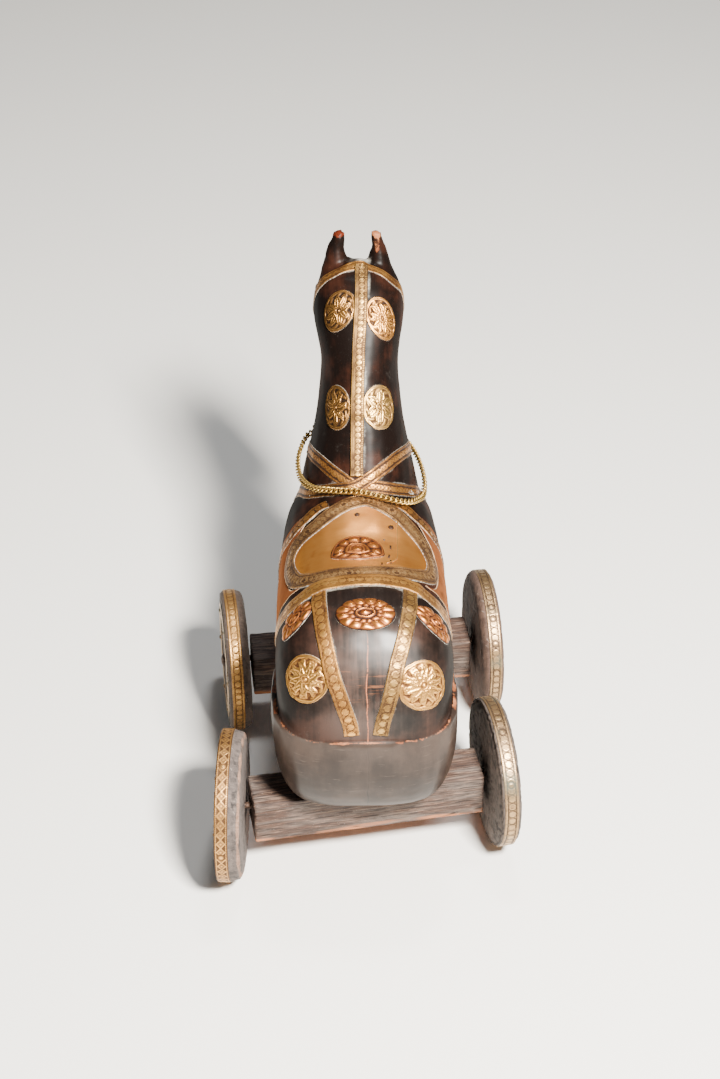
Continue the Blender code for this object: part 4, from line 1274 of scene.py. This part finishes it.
def weatheredWood(end):
    made, place = newLook(f"{end}BlockWood")
    hollow = place.painted("hollow")
    raw = place.painted("rawWood")
    turn = math.radians(blockValues[end]["turn"])
    fibres = place.streaks((70, 1500, 1500), 4.0, 0.7, turn)
    bands = place.streaks((28, 290, 290), 4.0, 0.65, turn)
    patches = place.cloud(38.0, 3.0, 0.6)
    specks = place.cloud(1300.0, 2.0, 0.7)
    wood = (bands * 0.55 + patches * 0.45).over(0.40, 0.62).mixed(blockValues["brown"], blockValues["grey"])
    wood = (fibres.over(0.50, 0.58) * 0.90).mixed(wood, (0.018, 0.010, 0.008))
    wood = ((1 - fibres).over(0.54, 0.66) * 0.60).mixed(wood, (0.25, 0.155, 0.105))
    bare = (raw * 1.2 + (fibres - 0.5) * 0.9 + (patches - 0.5) * 0.6).over(0.40, 0.85)
    wood = bare.mixed(wood, fibres.over(0.35, 0.65).mixed(blockValues["raw"], (0.36, 0.145, 0.065)))
    wood = hollow.over(0.45, 0.95).mixed(wood, blockValues["dark"])
    wood = (specks.over(0.64, 0.78) * 0.30).mixed(wood, (0.50, 0.42, 0.36))
    return finishLook(made, wood, 0.66 + patches * 0.22, 0.0, fibres + specks * 0.3, 0.30, 0.6)


for end in ("front", "rear"):
    axleBlock(end)
for joint in frame["joints"]:
    name = joint["name"].removesuffix("_spin")
    hub = hubPlace(joint)
    woodenDisc(name, wheelValues[name], hub)
    tyreBand(name, wheelValues[name], hub)
    outerRing(name, hub)
    hubPin(name, hub)
report("wheels and blocks made")


# stage, light and camera

stageValues = {
    "floor": (0.83, 0.82, 0.79),
    "sky": {"Color": (0.93, 0.96, 1.0, 1.0), "Strength": 0.145},
    "key": {"energy": 92.0, "size": 0.20, "color": (1.0, 0.95, 0.87)},
    "overhead": {"energy": 6.5, "size": 0.17},
    "toKey": (0.38, -0.79, 1.0),
    "overheadPlace": (0.10, 0.36, 1.30),    # m
}


def setLamp(name, place, toLight):
    light = bpy.data.lights.new(name, "AREA")
    for key, value in stageValues[name].items():
        setattr(light, key, value)
    lamp = placed(name, light)
    lamp.location = place
    lamp.rotation_euler = toLight.to_track_quat("Z", "Y").to_euler()


def setStage():
    form = bmesh.new()
    bmesh.ops.create_grid(form, x_segments=1, y_segments=1, size=3.0)
    mesh = bpy.data.meshes.new("floor")
    form.to_mesh(mesh)
    form.free()
    mesh.materials.append(finishLook(newLook("paleFloor")[0], stageValues["floor"], 0.85))
    floor = placed("floor", mesh)
    world = bpy.data.worlds.new("studio")
    world.use_nodes = True
    sky = world.node_tree.nodes["Background"]
    for key, value in stageValues["sky"].items():
        sky.inputs[key].default_value = value
    bpy.context.scene.world = world
    toKey = Vector(stageValues["toKey"]).normalized()
    setLamp("key", Vector((0, 0, 0.12)) + toKey * 1.2, toKey)
    overhead = Vector(stageValues["overheadPlace"])
    setLamp("overhead", overhead, overhead - Vector((0, 0, 0.15)))


# mm, m, and degrees below the level and across
cameraValues = {"lens": 70.0, "place": (-0.0192, -0.8772, 0.8039), "down": 37.207, "across": 1.219}


def setCamera():
    lens = bpy.data.cameras.new("camera")
    lens.lens = cameraValues["lens"]
    lens.sensor_width = 36.0
    lens.clip_start = 0.01
    camera = placed("camera", lens)
    camera.location = cameraValues["place"]
    camera.rotation_euler = (math.radians(90 - cameraValues["down"]), 0, -math.radians(cameraValues["across"]))
    bpy.context.scene.camera = camera


setStage()
setCamera()
report("stage, light and camera set")
